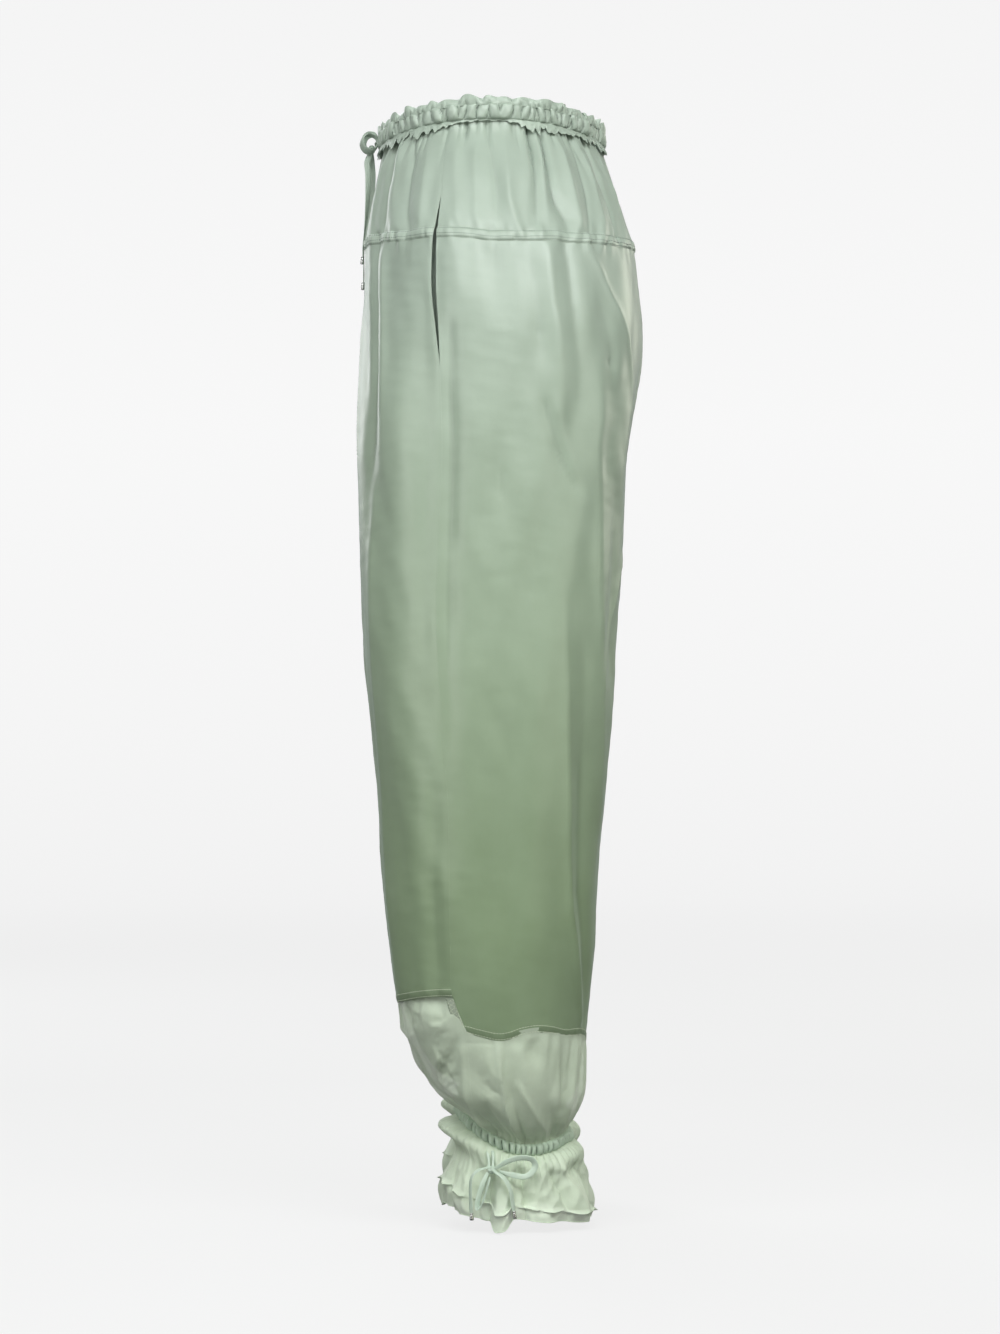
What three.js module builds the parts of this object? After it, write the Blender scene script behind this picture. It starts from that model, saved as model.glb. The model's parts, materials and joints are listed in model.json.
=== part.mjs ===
// Balloon pants in satin, with sheer gathered cuffs: a worn, hollow garment held up at the waist.
// Millimetres. +X is the wearer's left, -Y the front, +Z up. The origin is the centre of the waist casing's ring.
import * as THREE from 'three';

// ---------------------------------------------------------------- driving sizes
const GAP = 0.3;                 // clearance between two cut pieces where they are sewn together
const SATIN = 1.6;               // wall of the satin pieces
const SHEER = 1.3;               // wall of the sheer cuffs and ruffles
const SEAM_THICK = 2.6;          // wall of a felled seam: the layers of both pieces turned together
const WAIST_HALF_WIDTH = 120.5;  // inside the casing's ring, side to side
const WAIST_HALF_DEPTH = 100;    // and front to back
const WAIST_DIP = 7;             // the ring stands this much higher at the sides and lower at the front and back
const CASING_HALF_HEIGHT = 6.5;
const CASING_THICK = 4.4;        // gathered channel with the tie inside
const CASING_PUCKER = 0.9;       // depth of its puckers
const HEADING_HEIGHT = 7;        // frilled edge that stands above the casing
const SELVAGE_DROP = 11;         // frilled edge that hangs under the casing
const BAND_HALF_HEIGHT = 4.2;    // felled seam between yoke and legs
const HEM_HALF_HEIGHT = 3.6;     // felled seam between satin leg and sheer cuff
const SLIT_TOP_Z = -70;          // pocket mouth, in the side seam
const SLIT_END_Z = -224;
const SLIT_OPEN = 3.4;           // how far the mouth stands open at its middle
const POCKET_DEPTH_Z = -300;     // bottom of the pocket bag
const ANKLE_CX = 92, ANKLE_CY = 20;         // centre of the left ankle casing
const ANKLE_HALF_WIDTH = 43, ANKLE_HALF_DEPTH = 47.5;
const ANKLE_HALF_HEIGHT = 4.8;
const ANKLE_THICK = 3.6;
const TIE_WIDTH = 5, TIE_THICK = 1.2;       // flat satin tie

// Horizontal sections of the left half. 'out' is the half width of the whole garment, 'cx' the centre of
// the left leg's oval, 'front' and 'back' its ends in Y, and 'square' the power of the oval (2 is an ellipse).
// Where the oval would cross the middle plane it is cut there, which gives the crotch seam its curve.
const SECTIONS = [
  //  z    out     cx    front   back   square
  [   20, 119.5,   0.0, -100.0, 100.0, 2.0],
  [   -8, 122.0,   0.0, -101.0, 101.0, 2.0],
  [  -32, 138.0,   4.0, -105.0, 107.5, 2.1],
  [  -62, 157.0,  11.0, -110.0, 116.5, 2.2],
  [ -106, 179.0,  24.0, -115.2, 128.0, 2.3],
  [ -150, 190.0,  42.0, -116.5, 133.0, 2.3],
  [ -181, 195.0,  56.0, -116.5, 135.0, 2.3],
  [ -215, 198.0,  71.0, -117.0, 133.0, 2.3],
  [ -250, 201.0,  86.0, -118.0, 128.0, 2.3],
  [ -280, 203.0,  97.0, -118.3, 123.5, 2.3],
  [ -304, 204.5, 102.7, -118.3, 120.5, 2.3],
  [ -340, 207.0, 104.5, -117.5, 118.0, 2.3],
  [ -404, 211.0, 107.0, -117.4, 115.2, 2.3],
  [ -468, 214.0, 108.6, -114.7, 111.6, 2.3],
  [ -522, 214.5, 109.0, -111.0, 109.0, 2.3],
  [ -565, 213.0, 108.5, -106.6, 105.3, 2.3],
  [ -608, 210.0, 107.5, -102.2, 101.7, 2.3],
  [ -652, 206.0, 105.5,  -99.5,  97.2, 2.3],
  [ -695, 201.0, 103.5,  -96.8,  94.5, 2.3],
  [ -738, 195.0, 101.0,  -92.3,  92.7, 2.2],
  [ -781, 187.0,  98.0,  -86.5,  88.0, 2.2],
  [ -820, 178.0,  95.5,  -77.5,  84.0, 2.2],
];

// Polar angle of the side seam on the left half, 0 at the side and negative towards the front.
const SIDE_SEAM = [
  //  z    degrees
  [   20, -20.0],
  [   -8, -20.0],
  [  -68, -19.3],
  [ -106, -21.0],
  [ -181, -24.0],
  [ -300, -25.0],
  [ -468, -25.0],
  [ -652, -20.6],
  [ -775, -23.3],
  [ -820, -23.3],
];

// Gathers and folds of each half: a soft trough (negative) or ridge, from one angle and height to another.
const FOLDS = [
  // top_deg end_deg  depth  width_deg  top_z  end_z
  [  -86,   -84,     2.0,     5.0,     -20,  -250],
  [  -73,   -70,    -7.0,     6.5,       0,  -290],
  [  -55,   -50,     3.0,     5.5,     -20,  -280],
  [  -45,   -42,    -4.2,     3.5,      -4,   -95],
  [  -35,   -34,    -4.8,     3.6,      -4,  -110],
  [  -14,   -13,    -3.4,     3.6,      -4,   -90],
  [   -3,    -3,    -4.0,     3.8,      -4,  -100],
  [    8,     7,    -3.2,     3.6,      -4,   -80],
  [   18,    14,    -5.4,     3.8,      -4,  -112],
  [   27,    22,    -4.8,     3.8,      -4,  -108],
  [   42,    33,    -4.8,     3.8,      -4,  -110],
  [   56,    47,    -5.2,     4.2,      -4,  -112],
  [   68,    62,    -4.0,     3.8,      -4,   -96],
  [   80,    77,    -4.6,     3.8,      -4,  -100],
  [   38,    62,    -6.0,    11.0,    -130,  -290],
  [   62,    60,    -4.5,    12.0,    -330,  -560],
  [  -70,   -66,     3.0,    12.0,    -330,  -560],
  [   45,    52,    -4.5,    11.0,    -540,  -800],
  [  128,   130,    -4.5,    14.0,    -330,  -760],
  [ -128,  -130,    -4.5,    14.0,    -330,  -760],
];

// How a cuff draws in from the level of the front hem (0) to the ankle casing (1), at its front, sides and back.
const CUFF = [
  // down  front  side  back
  [ 0.00, 0.00, 0.00, 0.00],
  [ 0.30, 0.00, 0.00, 0.00],
  [ 0.50, 0.12, 0.09, 0.06],
  [ 0.70, 0.29, 0.23, 0.13],
  [ 0.86, 0.46, 0.46, 0.40],
  [ 0.95, 0.66, 0.74, 0.76],
  [ 1.00, 1.00, 1.00, 1.00],
];

// Waves of an ankle ruffle's free edge: where each fold stands out, how far, and how low it hangs.
const RUFFLE_WAVES = [
  // deg   out   width_deg  drop
  [  -28,   6,      13,      12],
  [    8,   4,      12,       0],
  [   38,   3,      12,       3],
  [   66,   8,      14,       0],
  [   98,   5,      13,       2],
  [  130,   7,      14,       5],
  [  165,   5,      13,       0],
  [ -158,   7,      14,       6],
  [ -120,   6,      13,       0],
  [  -86,   8,      14,       2],
  [  -58,   3,      10,      -4],
];

// ---------------------------------------------------------------- small maths
const rad = (deg) => (deg * Math.PI) / 180;
const clamp01 = (x) => Math.min(1, Math.max(0, x));
const smooth = (x) => { const s = clamp01(x); return s * s * (3 - 2 * s); };
const lerp = (a, b, f) => a + (b - a) * f;

// Smooth reading of a table by its first column, which may rise or fall.
function read(table, key, column) {
  const up = table[1][0] > table[0][0];
  let i = 0;
  while (i < table.length - 2 && (up ? key > table[i + 1][0] : key < table[i + 1][0])) i++;
  const slope = (k) => {
    const a = table[Math.max(0, k - 1)], b = table[Math.min(table.length - 1, k + 1)];
    return (b[column] - a[column]) / (b[0] - a[0]);
  };
  const h = table[i + 1][0] - table[i][0];
  const s = clamp01((key - table[i][0]) / h);
  const m0 = slope(i) * h, m1 = slope(i + 1) * h;
  const s2 = s * s, s3 = s2 * s;
  return (2 * s3 - 3 * s2 + 1) * table[i][column] + (s3 - 2 * s2 + s) * m0
    + (-2 * s3 + 3 * s2) * table[i + 1][column] + (s3 - s2) * m1;
}

function section(z) {
  const out = read(SECTIONS, z, 1), cx = read(SECTIONS, z, 2);
  const front = read(SECTIONS, z, 3), back = read(SECTIONS, z, 4);
  return { cx, a: out - cx, cy: (front + back) / 2, b: (back - front) / 2, n: read(SECTIONS, z, 5) };
}

const wrap = (t) => Math.atan2(Math.sin(t), Math.cos(t));

// Sum of the folds at an angle (radians) and height.
function foldDepth(theta, z) {
  let d = 0;
  for (const [top, end, depth, width, zTop, zEnd] of FOLDS) {
    if (z > zTop + 8 || z < zEnd - 8) continue;
    const f = clamp01((zTop - z) / (zTop - zEnd));
    const centre = rad(lerp(top, end, f));
    const along = smooth((zTop + 8 - z) / 26) * Math.pow(1 - f, 0.8) * (zTop > -100 ? 1 : smooth(f * 3));
    d += depth * along * Math.exp(-((wrap(theta - centre) / rad(width)) ** 2));
  }
  return d;
}

// A point of the garment's outer face, at a polar angle about its leg's centre. side is +1 on the left.
function outer(side, theta, z) {
  const s = section(z);
  const c = Math.cos(theta), q = Math.sin(theta);
  const r = Math.pow(Math.pow(Math.abs(c / s.a), s.n) + Math.pow(Math.abs(q / s.b), s.n), -1 / s.n) + foldDepth(theta, z);
  return new THREE.Vector3(side * (s.cx + r * c), s.cy + r * q, z);
}

// Angle at which a half meets the middle plane, or closes on the inner leg. end is -1 in front, +1 behind.
function edgeAngle(z, end) {
  const s = section(z);
  const x = GAP / 2 - s.cx;
  if (Math.abs(x) >= s.a * 0.9999) return end * (Math.PI - GAP / 2 / s.a);
  let y = s.b * Math.pow(1 - Math.pow(Math.abs(x / s.a), s.n), 1 / s.n);
  let t = Math.atan2(Math.max(y, GAP / 2), x);
  // the folds move the oval a little: slide along it until it lies on the middle plane again
  for (let k = 0; k < 12; k++) {
    const p = outer(1, end * t, z);
    t += (p.x - GAP / 2) / Math.max(20, Math.hypot(p.x - s.cx, p.y - s.cy)) / Math.max(0.35, Math.abs(Math.sin(t)));
    t = Math.min(t, Math.PI - GAP / 2 / s.a);
  }
  return end * t;
}

const waistZ = (theta) => WAIST_DIP * Math.cos(2 * theta);
const yokeSeamZ = (theta) => -104.5 - 4 * Math.max(0, Math.cos(theta)) ** 2;
const frontHemZ = (theta) => -775 - 11 * smooth((rad(-23) - theta) / rad(67));
const backHemZ = (theta) => -808 - 5 * smooth((theta + rad(16)) / rad(30)) + 4 * Math.sin(rad(25) + theta * 2.2)
  - 7 * smooth((theta - rad(40)) / rad(60));
const ankleZ = (theta) => -904.2 - 6 * Math.cos(theta) - 10.5 * Math.sin(theta) - 6.8 * Math.cos(2 * theta);
const STEP_TOP_Z = -775, STEP_END_Z = -807, STEP_TURN = rad(6.1);   // the side seam's slanting step at the hem
const sideSeam = (z) => rad(read(SIDE_SEAM, z, 1)) + STEP_TURN * clamp01((STEP_TOP_Z - z) / (STEP_TOP_Z - STEP_END_Z));

// ---------------------------------------------------------------- building walls
// A closed wall over a grid. surf(p, q) is the outer face; it is moved out by 'off' and given a thickness.
function wall({ surf, grid, nu, nv, thick, off = 0, around = false, centre, turn = null }) {
  const cols = around ? nu : nu + 1, rows = nv + 1;
  const front = [], back = [];
  const e = 1e-3;
  for (let j = 0; j < rows; j++) {
    for (let i = 0; i < cols; i++) {
      const [p, q] = grid(i, j);
      const o = surf(p, q);
      const dp = surf(p + e, q).sub(surf(p - e, q));
      const dq = surf(p, q + e).sub(surf(p, q - e));
      const n = dp.cross(dq).normalize();
      if (n.dot(o.clone().sub(centre(o))) < 0) n.negate();
      if (turn) turn(n, i, j);
      const a = o.clone().addScaledVector(n, off);
      front.push(a);
      back.push(a.clone().addScaledVector(n, -thick));
    }
  }
  const pts = front.concat(back), half = front.length, tri = [];
  const id = (i, j) => j * cols + (around ? i % nu : i);
  for (let j = 0; j < nv; j++) {
    for (let i = 0; i < nu; i++) {
      const a = id(i, j), b = id(i + 1, j), c = id(i + 1, j + 1), d = id(i, j + 1);
      tri.push(a, b, c, a, c, d, half + a, half + c, half + b, half + a, half + d, half + c);
    }
    if (!around) {
      const a = id(0, j), d = id(0, j + 1), b = id(nu, j), c = id(nu, j + 1);
      tri.push(a, d, half + d, a, half + d, half + a, b, half + b, half + c, b, half + c, c);
    }
  }
  for (let i = 0; i < nu; i++) {
    const a = id(i, 0), b = id(i + 1, 0), d = id(i, nv), c = id(i + 1, nv);
    tri.push(a, half + a, half + b, a, half + b, b, d, c, half + c, d, half + c, half + d);
  }
  return closed(pts, tri);
}

// A closed body from points and triangles, turned so that its faces point out.
function closed(pts, tri) {
  let volume = 0;
  for (let k = 0; k < tri.length; k += 3) {
    volume += pts[tri[k]].dot(pts[tri[k + 1]].clone().cross(pts[tri[k + 2]]));
  }
  if (volume < 0) for (let k = 0; k < tri.length; k += 3) [tri[k + 1], tri[k + 2]] = [tri[k + 2], tri[k + 1]];
  const g = new THREE.BufferGeometry();
  g.setAttribute('position', new THREE.Float32BufferAttribute(pts.flatMap((p) => [p.x, p.y, p.z]), 3));
  g.setIndex(tri);
  g.computeVertexNormals();
  return g;
}

// A flat tie: a rectangle carried along a smooth curve, its width across 'face', the way the flat side looks.
// It turns over by 'turn' radians from its start to its end.
function tie(points, face, steps, width = TIE_WIDTH, thick = TIE_THICK, turn = 0) {
  const curve = new THREE.CatmullRomCurve3(points.map((p) => new THREE.Vector3(...p)), false, 'centripetal');
  const pts = [], tri = [];
  let n = new THREE.Vector3(...face);
  for (let k = 0; k <= steps; k++) {
    const t = curve.getTangentAt(k / steps), c = curve.getPointAt(k / steps);
    n = n.clone().addScaledVector(t, -n.dot(t)).normalize();
    const m = n.clone().applyAxisAngle(t, turn * smooth(k / steps));
    const w = t.clone().cross(m).normalize();
    for (const [u, v] of [[1, 1], [-1, 1], [-1, -1], [1, -1]]) {
      pts.push(c.clone().addScaledVector(w, (u * width) / 2).addScaledVector(m, (v * thick) / 2));
    }
  }
  for (let k = 0; k < steps; k++) {
    for (let i = 0; i < 4; i++) {
      const a = k * 4 + i, b = k * 4 + ((i + 1) % 4), c = b + 4, d = a + 4;
      tri.push(a, b, c, a, c, d);
    }
  }
  const m = steps * 4;
  tri.push(0, 2, 1, 0, 3, 2, m, m + 1, m + 2, m, m + 2, m + 3);
  return closed(pts, tri);
}

// ---------------------------------------------------------------- materials and scene
const satin = () => new THREE.MeshStandardMaterial({ color: 0xa3bfa8, roughness: 0.42, metalness: 0 });
const sheer = () => new THREE.MeshStandardMaterial({ color: 0xb3c4ab, roughness: 0.7, metalness: 0 });
const metal = () => new THREE.MeshStandardMaterial({ color: 0xb9bab8, roughness: 0.3, metalness: 1 });

const pants = new THREE.Group();
function add(name, geometry, material) {
  const mesh = new THREE.Mesh(geometry, material);
  mesh.name = name;
  pants.add(mesh);
  return mesh;
}
const axisOfTorso = (p) => new THREE.Vector3(0, section(p.z).cy, p.z);
const axisOfLeg = (side) => (p) => { const s = section(p.z); return new THREE.Vector3(side * Math.max(s.cx, 1), s.cy, p.z); };

// ---------------------------------------------------------------- waist: casing, heading, lower frill
const WAIST_STEPS = 48;
const waistTurn = (i) => (i / WAIST_STEPS) * 2 * Math.PI;
function waistRing(theta, z, grow) {
  const c = Math.cos(theta), q = Math.sin(theta);
  const r = 1 / Math.hypot(c / WAIST_HALF_WIDTH, q / WAIST_HALF_DEPTH) + grow;
  return new THREE.Vector3(r * c, r * q, waistZ(theta) + z);
}
{
  // the gathered casing, a ring of five-sided section with a pucker at every other step
  const profile = [[0.2, 1], [CASING_THICK * 0.8, 0.8], [CASING_THICK, 0], [CASING_THICK * 0.8, -0.8], [0.2, -1]];
  const pts = [], tri = [], k = profile.length;
  for (let i = 0; i < WAIST_STEPS; i++) {
    const pucker = i % 2 ? -CASING_PUCKER : CASING_PUCKER * 0.3;
    for (const [out, up] of profile) {
      pts.push(waistRing(waistTurn(i), up * CASING_HALF_HEIGHT, out + (out > 0.3 ? pucker : 0)));
    }
  }
  for (let i = 0; i < WAIST_STEPS; i++) {
    for (let j = 0; j < k; j++) {
      const a = i * k + j, b = i * k + ((j + 1) % k), c = ((i + 1) % WAIST_STEPS) * k + ((j + 1) % k), d = ((i + 1) % WAIST_STEPS) * k + j;
      tri.push(a, b, c, a, c, d);
    }
  }
  add('waist_casing', closed(pts, tri), satin());
}
add('waist_heading', wall({
  surf: (t, f) => waistRing(t, CASING_HALF_HEIGHT + GAP + f * HEADING_HEIGHT, 2.4 + f * 2.2 * Math.sin(t * 21) + f * 1.6),
  grid: (i, j) => [waistTurn(i), j],
  nu: WAIST_STEPS, nv: 1, thick: 1.3, around: true, centre: (p) => new THREE.Vector3(0, 0, p.z),
}), satin());
add('waist_frill', wall({
  surf: (t, f) => {
    const z = waistZ(t) - CASING_HALF_HEIGHT - GAP - f * SELVAGE_DROP;
    const p = outerAround(t, z);
    const n = new THREE.Vector3(p.x, p.y, 0).normalize();
    return p.addScaledVector(n, 3.6 + f * (1.8 + 0.6 * Math.sin(t * 19)));
  },
  grid: (i, j) => [waistTurn(i), j],
  nu: WAIST_STEPS, nv: 1, thick: 1.3, around: true, centre: (p) => new THREE.Vector3(0, 0, p.z),
}), satin());

// The unfolded outline of the torso at a true polar angle about the garment's middle.
function outerAround(t, z) {
  const s = section(z), side = Math.cos(t) >= 0 ? 1 : -1;
  const dir = new THREE.Vector2(Math.abs(Math.cos(t)), Math.sin(t));
  let lo = 20, hi = 260;
  for (let k = 0; k < 30; k++) {
    const m = (lo + hi) / 2;
    const v = Math.pow(Math.abs((m * dir.x - s.cx) / s.a), s.n) + Math.pow(Math.abs((m * dir.y - s.cy) / s.b), s.n);
    if (m * dir.x < s.cx ? Math.abs((m * dir.y - s.cy) / s.b) < 1 && v < 1 : v < 1) lo = m; else hi = m;
  }
  return new THREE.Vector3(side * lo * dir.x, lo * dir.y, z);
}

// ---------------------------------------------------------------- yoke and its seam band
// A half-turn piece counted from the right side seam (u = -1) through the middle (0) to the left one (+1).
function halfTurn(end, u, z, inset = 0) {
  const side = u < 0 ? -1 : 1;
  const edge = edgeAngle(z, end);
  let seam = sideSeam(z);
  const s = section(z);
  const open = end < 0 ? slitOpen(z) : 0;
  const gap = (end < 0 ? -1 : 1) * (GAP / 2 + inset + open) / (s.a);
  return [side, lerp(edge, seam + gap, Math.abs(u))];
}
const slitOpen = (z) => {
  const f = (SLIT_TOP_Z - z) / (SLIT_TOP_Z - SLIT_END_Z);
  return f <= 0 || f >= 1 ? 0 : SLIT_OPEN * Math.sin(Math.PI * f);
};
function halfPiece(name, end, nu, zLevels, thick, off, material) {
  add(name, wall({
    surf: (p, q) => {
      const side = p < 0 ? -1 : 1;
      return outer(side, Math.abs(p) - 10, q);
    },
    grid: (i, j) => {
      const u = (i / nu) * 2 - 1;
      let z = zLevels[j];
      let side, theta = end * 1.57;
      for (let k = 0; k < 3; k++) {
        z = typeof zLevels[j] === 'function' ? zLevels[j](theta) : zLevels[j];
        [side, theta] = halfTurn(end, u, z);
      }
      return [side * (theta + 10), z];
    },
    nu, nv: zLevels.length - 1, thick, off, centre: axisOfTorso,
    turn: (n, i) => { if (i === nu / 2) { n.x = 0; n.normalize(); } },
  }), material);
}
// u = 0 belongs to both halves: it is the middle point itself, and lies on the middle plane within the gap.
const yokeLevels = [
  (t) => waistZ(t) - CASING_HALF_HEIGHT - GAP,
  (t) => lerp(waistZ(t) - CASING_HALF_HEIGHT, yokeSeamZ(t), 0.4),
  (t) => yokeSeamZ(t) + BAND_HALF_HEIGHT + GAP,
];
halfPiece('yoke_front', -1, 28, yokeLevels, SATIN, 0, satin());
halfPiece('yoke_back', 1, 38, yokeLevels, SATIN, 0, satin());
const bandLevels = [(t) => yokeSeamZ(t) + BAND_HALF_HEIGHT, (t) => yokeSeamZ(t) - BAND_HALF_HEIGHT];
halfPiece('seam_band_front', -1, 28, bandLevels, SEAM_THICK, 1.0, satin());
halfPiece('seam_band_back', 1, 38, bandLevels, SEAM_THICK, 1.0, satin());

// ---------------------------------------------------------------- leg panels, from the yoke band to the stepped hem
const CROTCH_Z = (() => {
  let z = -280;
  while (section(z).cx < section(z).a) z -= 0.25;
  return z;
})();
const PANEL_Z = [-150, -200, -245, -275, -291, CROTCH_Z, -320, -400, -490, -590, -695];

function legPanel(side, end, nu) {
  const hem = end < 0 ? frontHemZ : backHemZ;
  const levels = [(t) => yokeSeamZ(t) - BAND_HALF_HEIGHT - GAP, ...PANEL_Z,
    ...(end < 0 ? [(t) => hem(t) + HEM_HALF_HEIGHT + GAP] : [-770, -788, (t) => hem(t) + HEM_HALF_HEIGHT + GAP])];
  return wall({
    surf: (p, q) => outer(side, p, q),
    grid: (i, j) => {
      let z = 0, theta = end * 1.57;
      for (let k = 0; k < 3; k++) {
        z = typeof levels[j] === 'function' ? levels[j](theta) : levels[j];
        const gap = (GAP / 2 + (end < 0 ? slitOpen(z) : 0)) / section(z).a;
        theta = lerp(sideSeam(z) + end * gap, edgeAngle(z, end), i / nu);
      }
      return [theta, z];
    },
    nu, nv: levels.length - 1, thick: SATIN, centre: axisOfLeg(side),
  });
}
for (const [side, word] of [[1, 'left'], [-1, 'right']]) {
  add(`leg_front_${word}`, legPanel(side, -1, 9), satin());
  add(`leg_back_${word}`, legPanel(side, 1, 12), satin());
}

// ---------------------------------------------------------------- pocket bag: one folded sheet inside each side seam
function pocketBag(side) {
  // across the sheet: from the mouth's front lip forwards, round the fold, and back past the mouth
  const across = [
    // along  inwards  (share of the bag's width forward of the seam, and depth inside the outer face)
    [0.03, 3.9], [0.5, 4.2], [0.95, 4.6], [1.0, 6.4], [0.95, 8.2], [0.5, 8.8], [-0.05, 8.6], [-0.16, 8.2],
  ];
  const levels = [-58, -130, -220, POCKET_DEPTH_Z];
  const at = (p, z) => {
    const k = Math.min(across.length - 2, Math.max(0, Math.floor(p)));
    const f = p - k;
    const along = lerp(across[k][0], across[k + 1][0], f), depth = lerp(across[k][1], across[k + 1][1], f);
    const s = section(z);
    const reach = rad(44) * (0.72 + 0.28 * Math.sin(Math.PI * clamp01((-58 - z) / (-58 - POCKET_DEPTH_Z))));
    const theta = sideSeam(z) - (SLIT_OPEN + 1) / s.a - along * reach;
    const o = outer(side, theta, z);
    const n = new THREE.Vector3(side * Math.cos(theta), Math.sin(theta), 0);
    return o.addScaledVector(n, -depth);
  };
  const pts = [], tri = [], cols = across.length;
  for (const sgn of [1, -1]) {
    for (const z of levels) {
      for (let i = 0; i < cols; i++) {
        const c = at(i, z), a = at(Math.max(0, i - 0.02), z), b = at(Math.min(cols - 1, i + 0.02), z);
        const t = b.sub(a).normalize();
        pts.push(c.add(new THREE.Vector3(-t.y, t.x, 0).multiplyScalar(sgn * 0.45)));
      }
    }
  }
  const half = levels.length * cols, id = (i, j) => j * cols + i;
  for (let j = 0; j < levels.length - 1; j++) {
    for (let i = 0; i < cols - 1; i++) {
      const a = id(i, j), b = id(i + 1, j), c = id(i + 1, j + 1), d = id(i, j + 1);
      tri.push(a, b, c, a, c, d, half + a, half + c, half + b, half + a, half + d, half + c);
    }
    const a = id(0, j), d = id(0, j + 1), b = id(cols - 1, j), c = id(cols - 1, j + 1);
    tri.push(a, d, half + d, a, half + d, half + a, b, half + b, half + c, b, half + c, c);
  }
  for (let i = 0; i < cols - 1; i++) {
    const a = id(i, 0), b = id(i + 1, 0), d = id(i, levels.length - 1), c = id(i + 1, levels.length - 1);
    tri.push(a, half + a, half + b, a, half + b, b, d, c, half + c, d, half + c, half + d);
  }
  return closed(pts, tri);
}
add('pocket_bag_left', pocketBag(1), satin());
add('pocket_bag_right', pocketBag(-1), satin());

// ---------------------------------------------------------------- satin hem bands, sheer cuffs
const hemEdge = (z, end) => end * (Math.PI - GAP / 2 / section(z).a);
function hemBand(side, end, nu) {
  const hem = end < 0 ? frontHemZ : backHemZ;
  return wall({
    surf: (p, q) => outer(side, p, q),
    grid: (i, j) => {
      let z = 0, theta = end * 1.57;
      for (let k = 0; k < 3; k++) {
        z = hem(theta) + (j ? -1 : 1) * HEM_HALF_HEIGHT;
        theta = lerp(sideSeam(z) + (end * GAP / 2) / section(z).a, hemEdge(z, end), i / nu);
      }
      return [theta, z];
    },
    nu, nv: 1, thick: SEAM_THICK, off: 0.9, centre: axisOfLeg(side),
  });
}

function ankleRing(side, theta, z, grow) {
  const c = Math.cos(theta), q = Math.sin(theta);
  const r = 1 / Math.hypot(c / ANKLE_HALF_WIDTH, q / ANKLE_HALF_DEPTH) + grow;
  return new THREE.Vector3(side * (ANKLE_CX + r * c), ANKLE_CY + r * q, ankleZ(theta) + z);
}
// v runs from the front hem's level (0) to the casing's top (1). Front and back cuffs share this one surface.
const CUFF_TOP_Z = -780;
const ankleTopZ = (theta) => ankleZ(theta) + ANKLE_HALF_HEIGHT + GAP;
function cuffPoint(side, theta, v) {
  const z = lerp(CUFF_TOP_Z, ankleTopZ(theta), v);
  const top = outer(side, theta, Math.max(z, -820));
  const low = ankleRing(side, theta, ANKLE_HALF_HEIGHT + GAP, ANKLE_THICK * 0.6);
  const c = Math.cos(theta) ** 2, f = Math.sin(theta) < 0 ? 1 - c : 0, b = 1 - c - f;
  const g = read(CUFF, v, 1) * f + read(CUFF, v, 2) * c + read(CUFF, v, 3) * b;
  const p = top.clone().lerp(low, g);
  p.z = z;
  const fold = 2.2 * Math.sin(theta * 9 + 1) * smooth((v - 0.35) / 0.5) * (1 - smooth((v - 0.94) / 0.06) * 0.6);
  p.x += side * fold * Math.cos(theta);
  p.y += fold * Math.sin(theta);
  return p;
}
const CUFF_ROWS = [0.5, 0.7, 0.86, 0.95, 1];
const cuffV = (theta, z) => (CUFF_TOP_Z - z) / (CUFF_TOP_Z - ankleTopZ(theta));
function cuff(side, end, nu) {
  const hem = end < 0 ? frontHemZ : backHemZ;
  const rows = [(t) => cuffV(t, hem(t) - HEM_HALF_HEIGHT - GAP), ...(end < 0 ? [0.14, 0.22] : []), ...CUFF_ROWS];
  return wall({
    surf: (p, q) => cuffPoint(side, p, q),
    grid: (i, j) => {
      let v = 0, theta = end * 1.57;
      for (let k = 0; k < 4; k++) {
        v = typeof rows[j] === 'function' ? rows[j](theta) : rows[j];
        const z = lerp(CUFF_TOP_Z, ankleTopZ(theta), v);
        const seam = sideSeam(Math.max(z, -820)) + rad(-4) * smooth((-820 - z) / 80);
        theta = lerp(seam + end * GAP / 2 / 60, end * (Math.PI - GAP / 2 / 40), i / nu);
      }
      return [theta, v];
    },
    nu, nv: rows.length - 1, thick: SHEER, centre: (p) => new THREE.Vector3(side * 93, 12, p.z),
  });
}

// ---------------------------------------------------------------- ankle casing and ruffle
const ANKLE_STEPS = 28;
function ankleCasing(side) {
  const profile = [[0.1, 1], [ANKLE_THICK * 0.75, 0.8], [ANKLE_THICK, 0], [ANKLE_THICK * 0.75, -0.8], [0.1, -1]];
  const pts = [], tri = [], k = profile.length;
  for (let i = 0; i < ANKLE_STEPS; i++) {
    for (const [out, up] of profile) {
      pts.push(ankleRing(side, (i / ANKLE_STEPS) * 2 * Math.PI, up * ANKLE_HALF_HEIGHT, out - (i % 2 && out > 0.2 ? 0.7 : 0)));
    }
  }
  for (let i = 0; i < ANKLE_STEPS; i++) {
    for (let j = 0; j < k; j++) {
      const a = i * k + j, b = i * k + ((j + 1) % k), c = ((i + 1) % ANKLE_STEPS) * k + ((j + 1) % k), d = ((i + 1) % ANKLE_STEPS) * k + j;
      tri.push(a, b, c, a, c, d);
    }
  }
  return closed(pts, tri);
}
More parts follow.
